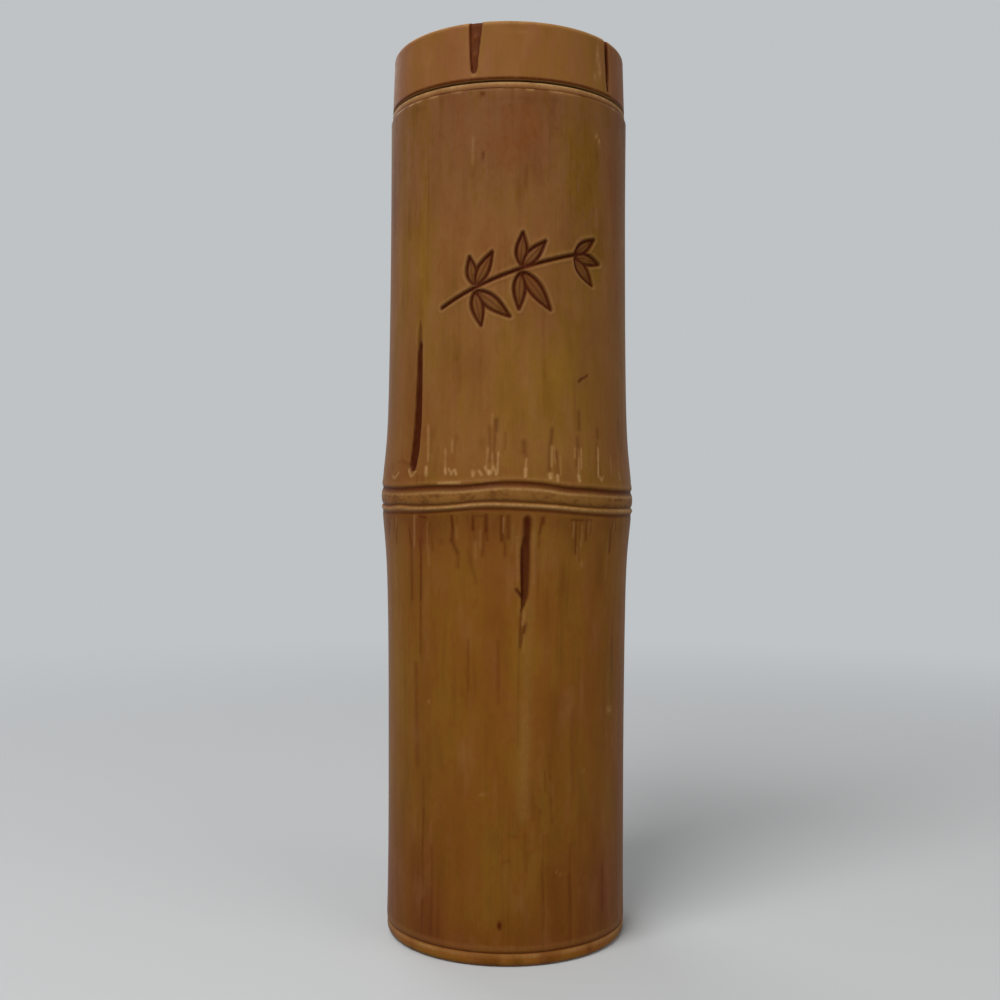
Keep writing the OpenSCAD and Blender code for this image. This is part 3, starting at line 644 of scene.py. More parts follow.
def addEnds(turn, height, relief, marks):
    # rounded ends, chipped along the top
    chip = 0.5 + 0.5 * patchNoise(turn, 0 * height, 110, 1.0, 54)
    fromTop, fromFoot = height - culm["top"], height - culm["foot"]
    edge = bell(fromTop, culm["edgeRound"]) * (0.5 + 0.7 * chip)
    relief -= culm["edgeRound"] * (edge + 0.8 * bell(fromFoot, culm["edgeRound"]))
    lay(marks, "wornAndHighlight", 0.45 * bell(fromTop + 0.35, 0.35) * ramp(chip, 0.35, 0.85))
    lay(marks, "wornAndHighlight", 0.14 * bell(fromFoot - 1.2, 0.5))
    lay(marks, "washAndShade", 0.6 * bell(fromTop, 0.25) * (1 - ramp(chip, 0.3, 0.6)))
    lay(marks, "washAndShade", 0.5 * bell(fromFoot, 0.25))


def culmSurface(turn, t):
    # radius, height and marks of the culm's face at angles and rows
    height = ringHeight(turn, t)
    arc = around(turn * arcRadius, 0.0)
    relief, pits = ringRelief(turn, t)
    bright = 0.75 + 0.35 * patchNoise(turn, 0 * height, 17, 4.0, 23)
    marks = ringMarks(turn, height, t, pits, bright)
    addStrokes(arc, height, relief, marks)
    addSplits(turn, arc, height, relief, marks, bright)
    addSprig(arc, height, relief, marks)
    addTone(turn, arc, height, marks)
    relief += (1 - bell(t, 6.0)) * noiseLayers(turn, height, culm["dents"])
    addEnds(turn, height, relief, marks)
    return np.minimum(culmRadius(t) + relief, culm["widest"] - 0.01), height, marks


def culmPiece(name, rows, boreRows):
    # the face going up, then the bore going down, closed at both ends
    turn = np.linspace(0, 2 * np.pi, culm["columns"], endpoint=False)[None, :]
    t = np.asarray(rows)[:, None] + 0 * turn
    turnGrid = turn + 0 * t
    radius, height, marks = culmSurface(turnGrid, t)
    points = [cylinderPoints(radius, turnGrid, height)]
    for boreRow in boreRows:
        level = ringHeight(turn, boreRow + 0 * turn)
        share = (level - culm["foot"]) / (culm["top"] - culm["foot"])
        bore = culm["boreFoot"] + (culm["boreTop"] - culm["boreFoot"]) * share
        points.append(cylinderPoints(bore, turn, level))
    plain = np.zeros((len(boreRows), culm["columns"]))
    marks = {key: np.vstack([value, plain]) for key, value in marks.items()}
    return gridMesh(name, np.vstack(points), marks)


def joined(*parts):
    # rows of points, joined from even stretches (start, end, step), single rows and arrays
    return np.concatenate([
        stretch(*part) if isinstance(part, tuple) else np.atleast_1d(part) for part in parts
    ])


darkExtra, paleExtra = randomMarks()
darkMarks, paleMarks = darkStrokes + darkExtra, paleStrokes + paleExtra
footRow = culm["foot"] - culm["nodeHeight"]
topRow = culm["top"] - culm["nodeHeight"]
footSteps = np.array([0.0, 0.1, 0.25, 0.45, 0.8])
topSteps = np.array([1.2, 0.9, 0.65, 0.45, 0.3, 0.18, 0.08, 0.0])
upper, lower, middle = culm["upperCrease"], culm["lowerCrease"], 36.0
# name, rows of the face going up, rows of the bore going down
culmPieces = [culmPiece(*piece) for piece in (
    (
        "culm_foot", joined(footRow + footSteps, (footRow + 1.4, -middle, 0.75), -middle),
        [-middle, footRow],
    ),
    ("culm_lower", joined((-middle, -5, 0.42), (-5, lower, 0.14), lower), [lower, -middle]),
    ("node_band", joined((lower, upper, 0.09), upper), [upper, lower]),
    (
        "culm_middle", joined((upper, 2.9, 0.08), (2.9, 7, 0.25), (7, middle, 0.42), middle),
        [middle, upper],
    ),
    (
        "culm_upper",
        joined((middle, 40, 0.8), (40, 65, 0.36), (65, topRow - 1.4, 0.95), topRow - topSteps),
        [topRow, 60.0, middle],
    ),
)]
print("culm made")


# Turned pieces: a profile of corners, each with its own rounding, carried round the axis

def roundedProfile(corners, steps=6):
    # each corner (r, z, rounding) becomes an arc that touches both its sides, with a
    # supporting point just outside the arc on each side
    points = []
    for k, (r, z, rounding) in enumerate(corners):
        here = np.array([r, z], float)
        if rounding <= 0:
            points.append(here)
            continue
        before = np.array(corners[k - 1][:2], float) - here
        after = np.array(corners[(k + 1) % len(corners)][:2], float) - here
        toBefore, toAfter = before / np.linalg.norm(before), after / np.linalg.norm(after)
        half = 0.5 * math.acos(float(np.clip(toBefore @ toAfter, -1, 1)))
        reach = rounding / math.tan(half)
        if rounding < 0.25:                         # too small for more than a chamfer
            points += [here + toBefore * reach, here + toAfter * reach]
            continue
        middle = (toBefore + toAfter) / np.linalg.norm(toBefore + toAfter)
        centre = here + middle * rounding / math.sin(half)
        first, last = here + toBefore * reach - centre, here + toAfter * reach - centre
        share, swept = np.linspace(0, 1, steps)[:, None], math.pi - 2 * half
        bend = (np.sin((1 - share) * swept) * first + np.sin(share * swept) * last) / math.sin(swept)
        support = min(0.25, 0.5 * rounding)
        points.append(here + toBefore * (reach + support))
        points.extend(centre + bend)
        points.append(here + toAfter * (reach + support))
    return np.array(points)


def turnedPiece(name, profile, dress, columns, closed=True):
    # carries a profile round the axis; dress gives the relief and the marks
    turn = np.linspace(0, 2 * np.pi, columns, endpoint=False)[None, :]
    radius, height = profile[:, :1] + 0 * turn, profile[:, 1:] + 0 * turn
    turnGrid = turn + 0 * radius
    relief, marks = dress(turnGrid, around(turnGrid * arcRadius, 0.0), radius, height)
    return gridMesh(name, cylinderPoints(radius + relief, turnGrid, height), marks, closed)


lidShape = {
    "seat": 209.05, "bandFoot": 209.6, "top": lidHigh.z / mm, "radius": lidHigh.x / mm,
    "topRadius": 29.5, "topRound": 1.15, "bandRound": 0.35,
    "plugFoot": lidLow.z / mm, "plugRadius": 23.6, "plugBore": 21.0,
    "grooveFoot": 201.55, "grooveTop": 206.65, "grooveRadius": 22.4,
    "seatRadius": 25.8, "coreRadius": 27.4, "coreTop": 221.7,
    "hollowRadius": 23.8, "hollowFloor": 218.9, "webUnder": 216.9, "strawRadius": 4.0,
    "dents": ((0.05, 9, 20, 62), (0.015, 60, 14, 63)),       # depth, cells round, cell height, seed
    "columns": 720,
}
# outline in arc and height, depth, wash inside, paler dimples
lidSplits = [
    {
        "outline": [
            (-9.9, 226), (-9.9, 222.9), (-9.8, 218.3), (-9.6, 214.7), (-9.3, 211.9), (-8.9, 211.4),
            (-8.1, 211.4), (-7.7, 212.4), (-7.6, 214), (-7.4, 216), (-7, 219.2), (-6.6, 223),
            (-6.5, 226),
        ],
        "depth": 0.7, "washAndShade": 0.62, "dimples": ((-8.5, 220.3), (-8.5, 216)),
    },
    {
        "outline": [
            (28, 226), (28, 222.5), (28.1, 218.5), (28.3, 213.7), (28.8, 211), (29.5, 211),
            (29.7, 214.1), (29.9, 219.1), (29.8, 226),
        ],
        "depth": 0.95, "washAndShade": 0.85, "dimples": (),
    },
]
# arc, height, reach round, reach up, strength
lidScuffs = [
    (25, 219, 0.7, 2.4, 0.55), (25.5, 215.6, 0.7, 2.2, 0.7), (24.6, 217, 0.5, 1.5, 0.4),
    (23.8, 213.4, 0.6, 1.3, 0.45), (24.8, 212.8, 0.5, 0.8, 0.3), (-8.6, 210.9, 0.6, 0.35, 0.6),
    (3, 221, 4, 0.4, 0.15),
]


def dressLid(turn, arc, radius, height):
    # splits and scuffs on the band; wash in its corners; a painted highlight on the top rim, painted
    # shade along the band's lower edge and painted light on the face under it
    s = lidShape
    outer = ramp(radius, s["coreRadius"] + 0.6, s["coreRadius"] + 1.6)
    washAndShade, relief = np.zeros(radius.shape), np.zeros(radius.shape)
    tone = 0.25 * patchNoise(turn, height, 14, 30.0, 65) + 0.15
    rough = 1 + 0.12 * patchNoise(turn, height, 260, 1.6, 61)
    for split in lidSplits:
        inside = -outlineDistance(arc, height, split["outline"])
        tone = tone - 1.6 * outer * ramp(inside, -0.1, 0.1)
        floor, level = rough, split["washAndShade"] + (0.95 - split["washAndShade"]) * bell(inside - 0.12, 0.22)
        for x, y in split["dimples"]:
            dimple = bell(arc - x, 0.55) * bell(height - y, 0.8)
            floor, level = floor - 0.35 * dimple, level - 0.3 * dimple
        relief -= outer * split["depth"] * ramp(inside, -0.12, 0.4) * floor
        washAndShade = np.maximum(washAndShade, outer * level * ramp(inside, -0.12, 0.12))
    relief += outer * noiseLayers(turn, height, s["dents"])
    scuffs = outer * strongest(*(spot(arc, height, place) for place in lidScuffs))
    scuffs = scuffs * (0.75 + 0.5 * patchNoise(turn, height, 280, 1.1, 66))
    # a painted highlight along the rim of the top
    rimHighlight = bell(height - s["top"] + 0.3, 0.6) * ramp(radius, s["topRadius"] - 1.6, s["topRadius"] - 0.5)
    rimHighlight = rimHighlight * (0.8 + 0.2 * patchNoise(turn, height, 60, 9.0, 64)) * (washAndShade < 0.3)
    corner = bell(radius - s["hollowRadius"] + 0.4, 0.8) * bell(height - s["hollowFloor"], 0.8)
    # painted shade along the band's lower edge; the face under it painted paler and yellow, as light
    # bounced into the gap
    above = height - s["bandFoot"]
    under = 1 - ramp(above, 0.02, 0.15)
    tone = tone + outer * under - 0.7 * outer * ramp(np.abs(arc), 28.0, 32.0)
    return np.minimum(relief, 0.0), {
        "washAndShade": strongest(washAndShade, 0.6 * corner),
        "stainAndShade": 1.1 * outer * (1 - under) * (1 - ramp(above, 0.45, 0.9)),
        "wornAndHighlight": strongest(scuffs, 0.7 * rimHighlight, 0.45 * outer * under),
        "tone": tone,
    }


def lidProfile():
    s = lidShape
    levels = np.linspace(s["bandFoot"] + s["bandRound"] + 0.3, s["top"] - s["topRound"] - 0.4, 44)
    slope = (s["topRadius"] - s["radius"]) / (s["top"] - s["bandFoot"])
    return roundedProfile([
        (s["strawRadius"], s["webUnder"], 0.15), (s["plugBore"], s["webUnder"], 0.8),
        (s["plugBore"], s["plugFoot"], 0.4), (s["plugRadius"], s["plugFoot"], 0.5),
        (s["plugRadius"], s["grooveFoot"], 0.1), (s["grooveRadius"], s["grooveFoot"], 0.1),
        (s["grooveRadius"], s["grooveTop"], 0.1), (s["plugRadius"], s["grooveTop"], 0.1),
        (s["plugRadius"], s["seat"], 0.15), (s["seatRadius"], s["seat"], 0.2),
        (s["seatRadius"], s["coreTop"], 0.4), (s["coreRadius"], s["coreTop"], 0.4),
        (s["coreRadius"], s["bandFoot"], 0.2), (s["radius"], s["bandFoot"], s["bandRound"]),
        *((s["radius"] + slope * (level - s["bandFoot"]), level, 0) for level in levels),
        (s["topRadius"], s["top"], s["topRound"]), (s["hollowRadius"], s["top"], s["topRound"]),
        (s["hollowRadius"] - 0.4, s["hollowFloor"], 0.8), (s["hollowRadius"] - 8, s["hollowFloor"], 0),
        (s["strawRadius"] + 5, s["hollowFloor"], 0), (s["strawRadius"], s["hollowFloor"], 0.15),
    ])


linerShape = {
    "foot": linerLow.z / mm, "seat": linerHigh.z / mm, "floor": 9.2, "floorRadius": 22.3, "wall": 1.8,
    "corner": 5.0, "radius": 26.1, "mouthRadius": 24.3, "mouthHeight": 12.0, "flangeRadius": 30.0,
    "flangeFoot": 207.5, "collarRadius": 27.45, "collarHeight": 5.0, "columns": 540,
}


def linerProfile():
    s = linerShape
    collar = s["flangeFoot"] - s["collarHeight"]
    return roundedProfile([
        (0, s["foot"], 0), (s["floorRadius"] + s["wall"], s["foot"], s["corner"] + s["wall"] / 2),
        (s["radius"], collar - s["collarRadius"] + s["radius"], 0.5), (s["collarRadius"], collar, 0.3),
        (s["collarRadius"], s["flangeFoot"], 0.1), (s["flangeRadius"], s["flangeFoot"], 0.12),
        *((s["flangeRadius"], s["flangeFoot"] + rise, 0) for rise in (0.35, 0.7, 1.0)),
        (s["flangeRadius"], s["seat"], 0.26), (s["mouthRadius"] + 0.05, s["seat"], 0.5),
        (s["mouthRadius"], s["seat"] - s["mouthHeight"], 1.0),
        (s["floorRadius"], s["floor"], s["corner"]), (0, s["floor"], 0),
    ], steps=8)


def dressLiner(turn, arc, radius, height):
    # the flange's edge: pale along its top corner as wear and painted highlight, stained towards the
    # shell
    s = linerShape
    edge = ramp(radius, s["flangeRadius"] - 0.5, s["flangeRadius"] - 0.1)
    uneven = 0.5 + 0.5 * patchNoise(turn, height, 70, 3.0, 71)
    corner = (0.45 + 0.65 * uneven) * bell(height - s["seat"] + 0.25, 0.5)
    patches = 0.55 * ramp(uneven, 0.6, 0.9) * bell(height - s["seat"] + 0.5, 0.6)
    washAndShade = edge * (0.25 + 0.6 * (1 - ramp(uneven, 0.2, 0.65))) * bell(height - s["flangeFoot"], 0.3)
    tone = 0.25 * patchNoise(turn, height, 20, 30.0, 72) - 0.3 * edge
    return 0 * radius, {
        "washAndShade": washAndShade, "stainAndShade": 0 * washAndShade, "wornAndHighlight": edge * strongest(corner, patches), "tone": tone,
    }


baseShape = {
    "radius": baseHigh.x / mm, "beadTop": 3.4, "beadRound": 1.6, "topRound": 0.4, "footRadius": 24.0,
    "recess": 1.5, "discTop": 3.5, "collarRadius": 27.95, "collarWall": 2.0, "top": baseHigh.z / mm,
    "columns": 540,
}


def baseProfile():
    s = baseShape
    collarInside = s["collarRadius"] - s["collarWall"]
    return roundedProfile([
        (0, s["recess"], 0), (s["footRadius"] - s["recess"], s["recess"], 0.4),
        (s["footRadius"], 0, 0.4), (s["radius"] - 3.2, 0, 0), (s["radius"], 0, s["beadRound"]),
        (s["radius"], s["beadTop"], s["topRound"]), (s["collarRadius"], s["beadTop"], 0.1),
        (s["collarRadius"], s["top"], 0.5), (collarInside, s["top"], 0.3),
        (collarInside, s["discTop"], 0.3), (0, s["discTop"], 0),
    ], steps=8)


def dressBase(turn, arc, radius, height):
    # a stained line under the shell, scuffs where the foot stands, dirt inside the foot ring, a painted
    # highlight along the bead's top and painted light making the bead's lower part yellower
    s = baseShape
    outer = ramp(radius, s["collarRadius"] + 0.3, s["collarRadius"] + 1.3)
    seam = 0.6 * outer * bell(height - s["beadTop"], 0.2)
    inner = bell(radius - s["footRadius"] + s["recess"], 0.7) * bell(height - s["recess"], 0.6)
    blot = 0.5 + 0.5 * patchNoise(turn, height, 60, 4.0, 81)
    foot = ramp(radius, s["footRadius"], s["footRadius"] + 0.8) * bell(height, 0.3)
    foot = foot * (0.25 + 0.5 * ramp(patchNoise(turn, 6 * radius, 120, 6.0, 82), 0.1, 0.6))
    tone = 0.25 * patchNoise(turn, height, 24, 20.0, 83) + 0.5 * outer * bell(height - 0.9, 0.9)
    return 0 * radius, {
        "washAndShade": strongest(seam, 0.5 * inner),
        "stainAndShade": 0.5 * outer * ramp(blot, 0.45, 0.9) * (1 - 0.6 * ramp(height, 2.0, 2.8)),
        "wornAndHighlight": strongest(foot, 0.5 * outer * bell(height - 2.8, 0.4) * (1.2 - blot)),
        "tone": tone,
    }


lidMesh = turnedPiece("lid_shell", lidProfile(), dressLid, lidShape["columns"])
linerMesh = turnedPiece("liner_cup", linerProfile(), dressLiner, linerShape["columns"], closed=False)
baseMesh = turnedPiece("base_bead", baseProfile(), dressBase, baseShape["columns"], closed=False)
print("turned pieces made")


# Materials. A short way to add a node, set its inputs and join it up

def addNode(tree, kind, inputs=None, **settings):
    made = tree.nodes.new(kind)
    for key, value in settings.items():
        setattr(made, key, value)
    for key, value in (inputs or {}).items():
        if isinstance(value, bpy.types.NodeSocket):
            tree.links.new(value, made.inputs[key])
        else:
            made.inputs[key].default_value = value
    return made


def mathNode(tree, operation, *values):
    return addNode(tree, "ShaderNodeMath", dict(enumerate(values)), operation=operation).outputs[0]


def mixColour(tree, factor, first, second):
    inputs = {0: factor, 6: first, 7: second}
    return addNode(tree, "ShaderNodeMix", inputs, data_type="RGBA").outputs[2]


def remap(tree, value, fromLow, fromHigh, toLow=0.0, toHigh=1.0):
    return addNode(tree, "ShaderNodeMapRange", {
        "Value": value, "From Min": fromLow, "From Max": fromHigh, "To Min": toLow, "To Max": toHigh,
    }).outputs["Result"]


grainShape = {
    "inputs": {"Streak width": 1.4, "Streak length": 34.0, "Shift": 0.0},      # the sizes in mm
    # size across and along as shares of those, detail, roughness, shift, distortion
    "noises": {
        "Streaks": (1.0, 1.0, 3, 0.6, 3.1, 0.0), "Bands": (4.0, 2.0, 2, 0.5, 17.3, 0.3),
        "Blotches": (8.0, 0.7, 4, 0.55, 31.7, 0.3), "Clouds": (3.4, 0.45, 3, 0.55, 71.3, 0.2),
        "Mottles": (1.4, 0.09, 3, 0.6, 83.9, 0.4), "Fibres": (0.24, 0.6, 2, 0.5, 47.9, 0.0),
        "Flecks": (0.6, 0.035, 4, 0.65, 59.1, 0.0),
    },
    "relief": {"Streaks": 0.5, "Fibres": 0.25, "Flecks": 0.3},
}


def grainGroup():
    # upright grain: noise squeezed round the cup and drawn out along it, at several sizes
    group = bpy.data.node_groups.new("uprightGrain", "ShaderNodeTree")
    group.interface.new_socket("Position", in_out="INPUT", socket_type="NodeSocketVector")
    for name, value in grainShape["inputs"].items():
        socket = group.interface.new_socket(name, in_out="INPUT", socket_type="NodeSocketFloat")
        socket.default_value = value
    for name in (*grainShape["noises"], "Relief"):
        group.interface.new_socket(name, in_out="OUTPUT", socket_type="NodeSocketFloat")
    given = group.nodes.new("NodeGroupInput").outputs
    outside = group.nodes.new("NodeGroupOutput")

    def rate(name, share):
        # cells of that size per metre
        return mathNode(group, "DIVIDE", 1.0 / mm, mathNode(group, "MULTIPLY", given[name], share))

    def drawn(across, along, detail, roughness, shift, distortion):
        # noise at position * (rate across, rate across, rate along) + shift
        wide = rate("Streak width", across)
        scale = addNode(group, "ShaderNodeCombineXYZ", {
            "X": wide, "Y": wide, "Z": rate("Streak length", along),
        }).outputs[0]
        moved = mathNode(group, "ADD", given["Shift"], shift)
        offset = addNode(group, "ShaderNodeCombineXYZ", {"X": moved, "Y": moved, "Z": moved}).outputs[0]
        placed = addNode(group, "ShaderNodeVectorMath", {
            0: given["Position"], 1: scale, 2: offset,
        }, operation="MULTIPLY_ADD").outputs[0]
        return addNode(group, "ShaderNodeTexNoise", {
            "Vector": placed, "Scale": 1.0, "Detail": detail, "Roughness": roughness,
            "Distortion": distortion,
        }).outputs["Fac"]

    relief = 0.0
    for name, shape in grainShape["noises"].items():
        value = drawn(*shape)
        group.links.new(value, outside.inputs[name])
        if name in grainShape["relief"]:
            relief = mathNode(group, "MULTIPLY_ADD", value, grainShape["relief"][name], relief)
    group.links.new(relief, outside.inputs["Relief"])
    return group


grain = grainGroup()

bambooLook = {
    # the low colour is darker partly as painted shade, for light falling off towards the foot
    "low": (0.172, 0.064, 0.007, 1), "high": (0.187, 0.0795, 0.02, 1),     # below and above the node
    "top": (0.186, 0.081, 0.0275, 1),
    "ochre": (0.2, 0.098, 0.0105, 1), "red": (0.152, 0.045, 0.0085, 1),
    "umber": (0.076, 0.0165, 0.001, 1), "washAndShade": (0.046, 0.0058, 0.0003, 1),
    "pale": (0.46, 0.27, 0.11, 1),
    # heights where a tone, a stain or the painted shade at the foot starts and where it is full
    "highFrom": (0.085, 0.15), "topFrom": (0.17, 0.195),
    "footShadeFrom": (0.06, 0.0), "topStainFrom": (0.165, 0.207),
    "streaks": 0.27, "fibres": 0.06, "clouds": 0.24, "mottles": 0.15,
    "footShade": 0.24, "topStain": 0.26, "mottle": 0.46, "toneReach": 1.2,
    "roughness": 0.5, "specular": 0.05, "sheen": 0.08, "relief": 0.00008,
}


def emptyMaterial(name):
    material = bpy.data.materials.new(name)
    material.use_nodes = True
    material.node_tree.nodes.clear()
    return material, material.node_tree


def grainAt(tree, position, settings):
    inputs = {"Position": position, **settings}
    return addNode(tree, "ShaderNodeGroup", inputs, node_tree=grain).outputs


def addShader(tree, relief, strength, distance, inputs):
    # the surface, with a fine relief of that strength and distance
    bump = addNode(tree, "ShaderNodeBump", {
        "Strength": strength, "Distance": distance, "Height": relief,
    }).outputs["Normal"]
    shader = addNode(tree, "ShaderNodeBsdfPrincipled", {"Normal": bump, **inputs})
    addNode(tree, "ShaderNodeOutputMaterial", {"Surface": shader.outputs[0]})


def bambooMaterial(name, look, shift, warmth=0.0):
    # brown plastic: tones from noise and the tone mark, stains, wash and painted shade laid over them,
    # pale where it is worn and where highlights are painted
    material, tree = emptyMaterial(name)
    position = addNode(tree, "ShaderNodeTexCoord").outputs["Object"]
    noise = grainAt(tree, position, {"Shift": shift})
    marks = {
        key: addNode(tree, "ShaderNodeAttribute", attribute_name=key).outputs["Fac"]
        for key in ("washAndShade", "stainAndShade", "wornAndHighlight", "tone")
    }
    height = addNode(tree, "ShaderNodeSeparateXYZ", {"Vector": position}).outputs["Z"]

    def flecked(mark, start, least):
        # a mark weakened to the share least where the flecks are below start
        flecks = remap(tree, noise["Flecks"], start, 0.6, least, 1.0)
        return mathNode(tree, "MULTIPLY", marks[mark], flecks)

    # tone: below 0 red, above 0 yellow
    tone = mathNode(tree, "ADD", marks["tone"], warmth)
    for source, share in (("Blotches", 0.9), ("Bands", 0.6), ("Clouds", 0.8), ("Mottles", 0.7)):
        amount = look["mottle"] * share
        tone = mathNode(tree, "ADD", tone, remap(tree, noise[source], 0.3, 0.7, -amount, amount))
    colour = mixColour(tree, remap(tree, height, *look["highFrom"]), look["low"], look["high"])
    colour = mixColour(tree, remap(tree, height, *look["topFrom"]), colour, look["top"])
    colour = mixColour(tree, remap(tree, tone, 0.0, look["toneReach"]), colour, look["ochre"])
    colour = mixColour(tree, remap(tree, tone, 0.0, -look["toneReach"]), colour, look["red"])
    # upright streaks here and there, painted shade darkening towards the foot, a darker top, fibres,
    # clouds and mottles
    streak = mathNode(
        tree, "MULTIPLY", remap(tree, noise["Streaks"], 0.5, 0.72, 0.0, look["streaks"]),
        remap(tree, noise["Bands"], 0.4, 0.62),
    )
    for value, low, high, key in (
        (height, *look["footShadeFrom"], "footShade"), (height, *look["topStainFrom"], "topStain"),
        (noise["Fibres"], 0.5, 0.75, "fibres"), (noise["Clouds"], 0.5, 0.7, "clouds"),
        (noise["Mottles"], 0.52, 0.72, "mottles"),
    ):
        streak = mathNode(tree, "ADD", streak, remap(tree, value, low, high, 0.0, look[key]))
    # with the stain and painted shade marks: streak + stained * (1 - streak)
    left = mathNode(tree, "SUBTRACT", 1.0, streak)
    stained = mathNode(tree, "MULTIPLY_ADD", flecked("stainAndShade", 0.3, 0.75), left, streak)
    colour = mixColour(tree, stained, colour, look["umber"])
    paler = remap(tree, noise["Clouds"], 0.46, 0.25, 0.0, 0.12)
    wornAndHighlight = mathNode(tree, "MAXIMUM", flecked("wornAndHighlight", 0.35, 0.5), paler)
    colour = mixColour(tree, mathNode(tree, "MULTIPLY", wornAndHighlight, 0.75), colour, look["pale"])
    colour = mixColour(tree, flecked("washAndShade", 0.3, 0.9), colour, look["washAndShade"])
    rough = look["roughness"]
    roughness = remap(tree, noise["Flecks"], 0.3, 0.7, rough - 0.05, rough + 0.07)
    addShader(tree, noise["Relief"], 0.5, look["relief"], {
        "Base Color": colour,
        "Roughness": mathNode(tree, "MULTIPLY_ADD", marks["washAndShade"], 0.12, roughness),
        "Specular IOR Level": look["specular"], "Sheen Weight": look["sheen"], "Sheen Roughness": 0.3,
    })
    return material


sealLook = {
    "light": (0.62, 0.58, 0.5, 1), "dark": (0.5, 0.46, 0.38, 1), "streakLength": 18.0,
    "roughness": (0.52, 0.64), "specular": 0.3, "relief": 0.00005,
}


def sealMaterial():
    # silicone: a slow change of tone and fine flecks
    look = sealLook
    material, tree = emptyMaterial("sealSilicone")
    position = addNode(tree, "ShaderNodeTexCoord").outputs["Object"]
    noise = grainAt(tree, position, {"Streak length": look["streakLength"]})
    share = remap(tree, noise["Clouds"], 0.3, 0.7)
    addShader(tree, noise["Relief"], 0.3, look["relief"], {
        "Base Color": mixColour(tree, share, look["light"], look["dark"]),
        "Roughness": remap(tree, noise["Flecks"], 0.3, 0.7, *look["roughness"]),
        "Specular IOR Level": look["specular"],
    })
    return material


smooth = {
    "streaks": 0.08, "fibres": 0.03, "clouds": 0.15, "mottles": 0.06,
    "footShade": 0.0, "topStain": 0.0, "mottle": 0.35,
}
lidLook = bambooLook | smooth | {"top": (0.196, 0.0755, 0.022, 1)}
linerLook = bambooLook | smooth | {
    "low": (0.2, 0.09, 0.026, 1), "high": (0.19, 0.082, 0.025, 1), "top": (0.19, 0.082, 0.025, 1),
}
baseLook = bambooLook | smooth | {"low": (0.205, 0.07, 0.0085, 1)}
culmMaterial = bambooMaterial("culmPlastic", bambooLook, 0.0)
pieces = [(piece, culmMaterial, "cup_body", "outer_shell", "bamboo_shell") for piece in culmPieces]
pieces += [
    (linerMesh, bambooMaterial("linerPlastic", linerLook, 11.0), "cup_body", "inner_liner", "liner"),
    (baseMesh, bambooMaterial("basePlastic", baseLook, 23.0), "cup_body", "base_cap", "base"),
    (lidMesh, bambooMaterial("lidPlastic", lidLook, 40.0, 0.05), "lid_body", "lid", "bamboo_lid"),
]
for piece, material, body, node, slot in pieces:
    piece.data.materials.append(material)
    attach(piece, body)
    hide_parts(node)
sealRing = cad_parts["seal_ring"]
sealRing.data.materials.clear()
sealRing.data.materials.append(sealMaterial())
print("materials made")


# Stage: a pale floor that sweeps up behind the cup, soft lights and the photograph's camera

stageShape = {
    "front": -1.6, "back": 1.1, "half": 2.6, "bend": 0.7, "wall": 2.4,
    "colour": (0.5, 0.515, 0.525, 1), "farColour": (0.52, 0.545, 0.56, 1),
    "near": 0.16, "far": 0.7,              # where the plain far colour starts and is reached
}
worldColour = (0.64, 0.64, 0.64, 1)
worldStrength = 0.4
lightAim = (0, 0, 0.11)
lights = {
    "key": {"place": (-0.38, -0.64, 0.95), "size": 0.6, "power": 12.0, "colour": (1.0, 0.99, 0.98)},
    "fill": {"place": (0.8, -0.7, 0.5), "size": 0.8, "power": 3.4, "colour": (1.0, 0.97, 0.9)},
    "back": {"place": (-0.4, 0.75, 0.8), "size": 0.6, "power": 3.0, "colour": (1.0, 1.0, 1.0)},
}
cameraShape = {
    "distance": 0.3172, "height": 0.1097, "lens": 43.82,
    "yaw": 0.3255, "pitch": 0.1015, "roll": 0.247,       # degrees
}


def seenRays(tree):
    # 1 for the rays that show a surface to the eye, straight, mirrored or through something
    rays = addNode(tree, "ShaderNodeLightPath").outputs
    bounced = mathNode(tree, "MAXIMUM", rays["Is Glossy Ray"], rays["Is Transmission Ray"])
    return mathNode(tree, "MAXIMUM", rays["Is Camera Ray"], bounced)


def stageMaterial():
    # a diffuse floor with the cup's shadow, which turns into one plain pale colour further off
    s = stageShape
    material = bpy.data.materials.new("paleFloor")
    material.use_nodes = True
    tree = material.node_tree
    shader = tree.nodes["Principled BSDF"]
    shader.inputs["Base Color"].default_value = s["colour"]
    shader.inputs["Roughness"].default_value = 0.9
    shader.inputs["Specular IOR Level"].default_value = 0.1
    plain = addNode(tree, "ShaderNodeEmission", {"Color": s["farColour"], "Strength": 1.0})
    position = addNode(tree, "ShaderNodeTexCoord").outputs["Object"]
    distance = addNode(tree, "ShaderNodeVectorMath", {0: position}, operation="LENGTH").outputs["Value"]
    away = addNode(tree, "ShaderNodeMapRange", {
        "Value": distance, "From Min": s["near"], "From Max": s["far"],
    }, interpolation_type="SMOOTHSTEP").outputs["Result"]
    mix = addNode(tree, "ShaderNodeMixShader", {
        0: mathNode(tree, "MULTIPLY", seenRays(tree), away), 1: shader.outputs[0], 2: plain.outputs[0],
    })
    tree.links.new(mix.outputs[0], tree.nodes["Material Output"].inputs["Surface"])
    return material


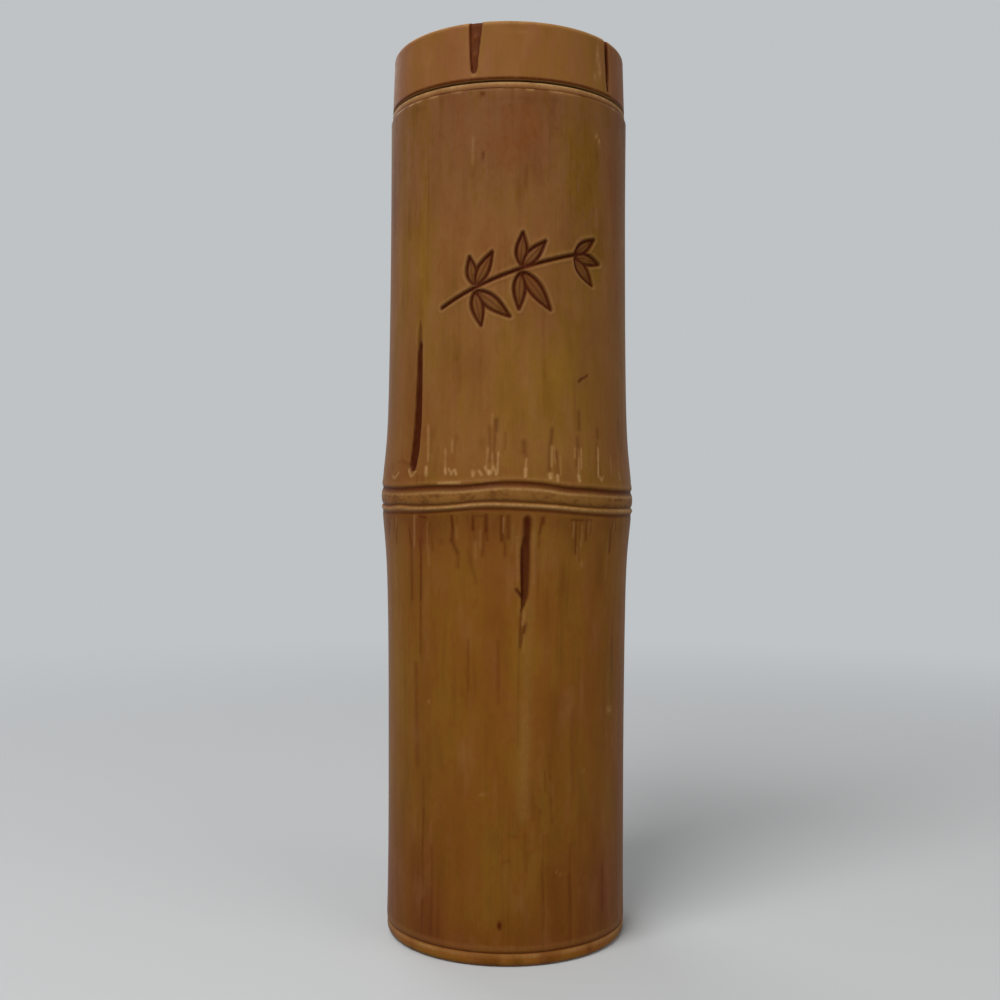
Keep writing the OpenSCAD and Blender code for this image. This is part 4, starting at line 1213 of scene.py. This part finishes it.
def stagePiece():
    # floor, quarter circle and wall as one profile carried along X
    s = stageShape
    bends = np.linspace(0, np.pi / 2, 24)
    curve = s["back"] + s["bend"] * np.sin(bends)
    y = np.concatenate([[s["front"], 0.0], curve, [s["back"] + s["bend"]]])
    z = np.concatenate([[0.0, 0.0], s["bend"] * (1 - np.cos(bends)), [s["wall"]]])
    x = np.linspace(-s["half"], s["half"], 9)
    points = np.stack([x + 0 * y[:, None], y[:, None] + 0 * x, z[:, None] + 0 * x], -1)
    rows, columns = points.shape[:2]
    low = np.arange(rows - 1)[:, None] * columns + np.arange(columns - 1)
    faces = np.stack([low, low + 1, low + 1 + columns, low + columns], -1).reshape(-1, 4)
    mesh = bpy.data.meshes.new("floor")
    mesh.from_pydata(points.reshape(-1, 3).tolist(), [], faces.tolist())
    mesh.polygons.foreach_set("use_smooth", np.ones(len(faces), bool))
    mesh.materials.append(stageMaterial())
    piece = bpy.data.objects.new("floor", mesh)
    bpy.context.scene.collection.objects.link(piece)


def softLight(name, light):
    data = bpy.data.lights.new(name, "AREA")
    data.size = light["size"]
    data.energy = light["power"]
    data.color = light["colour"]
    lamp = bpy.data.objects.new(name, data)
    lamp.location = light["place"]
    towards = Vector(lightAim) - Vector(light["place"])
    lamp.rotation_euler = towards.to_track_quat("-Z", "Y").to_euler()
    bpy.context.scene.collection.objects.link(lamp)


stagePiece()
for lightName, light in lights.items():
    softLight(lightName, light)
world = bpy.data.worlds.new("studio")
bpy.context.scene.world = world
world.use_nodes = True
worldTree = world.node_tree
lit = worldTree.nodes["Background"]
lit.inputs["Color"].default_value = worldColour
lit.inputs["Strength"].default_value = worldStrength
shown = addNode(worldTree, "ShaderNodeBackground", {"Color": stageShape["farColour"], "Strength": 1.0})
worldMix = addNode(worldTree, "ShaderNodeMixShader", {
    0: seenRays(worldTree), 1: lit.outputs[0], 2: shown.outputs[0],
})
worldTree.links.new(worldMix.outputs[0], worldTree.nodes["World Output"].inputs["Surface"])

cameraData = bpy.data.cameras.new("camera")
cameraData.sensor_width = 36
cameraData.lens = cameraShape["lens"]
cameraData.clip_start = 0.01
camera = bpy.data.objects.new("camera", cameraData)
bpy.context.scene.collection.objects.link(camera)
camera.matrix_world = (
    Matrix.Translation((0, -cameraShape["distance"], cameraShape["height"]))
    @ Matrix.Rotation(math.radians(cameraShape["yaw"]), 4, "Z")
    @ Matrix.Rotation(math.radians(90 + cameraShape["pitch"]), 4, "X")
    @ Matrix.Rotation(math.radians(cameraShape["roll"]), 4, "Z")
)
bpy.context.scene.camera = camera
bpy.context.scene.view_settings.view_transform = "Standard"
print("stage made")
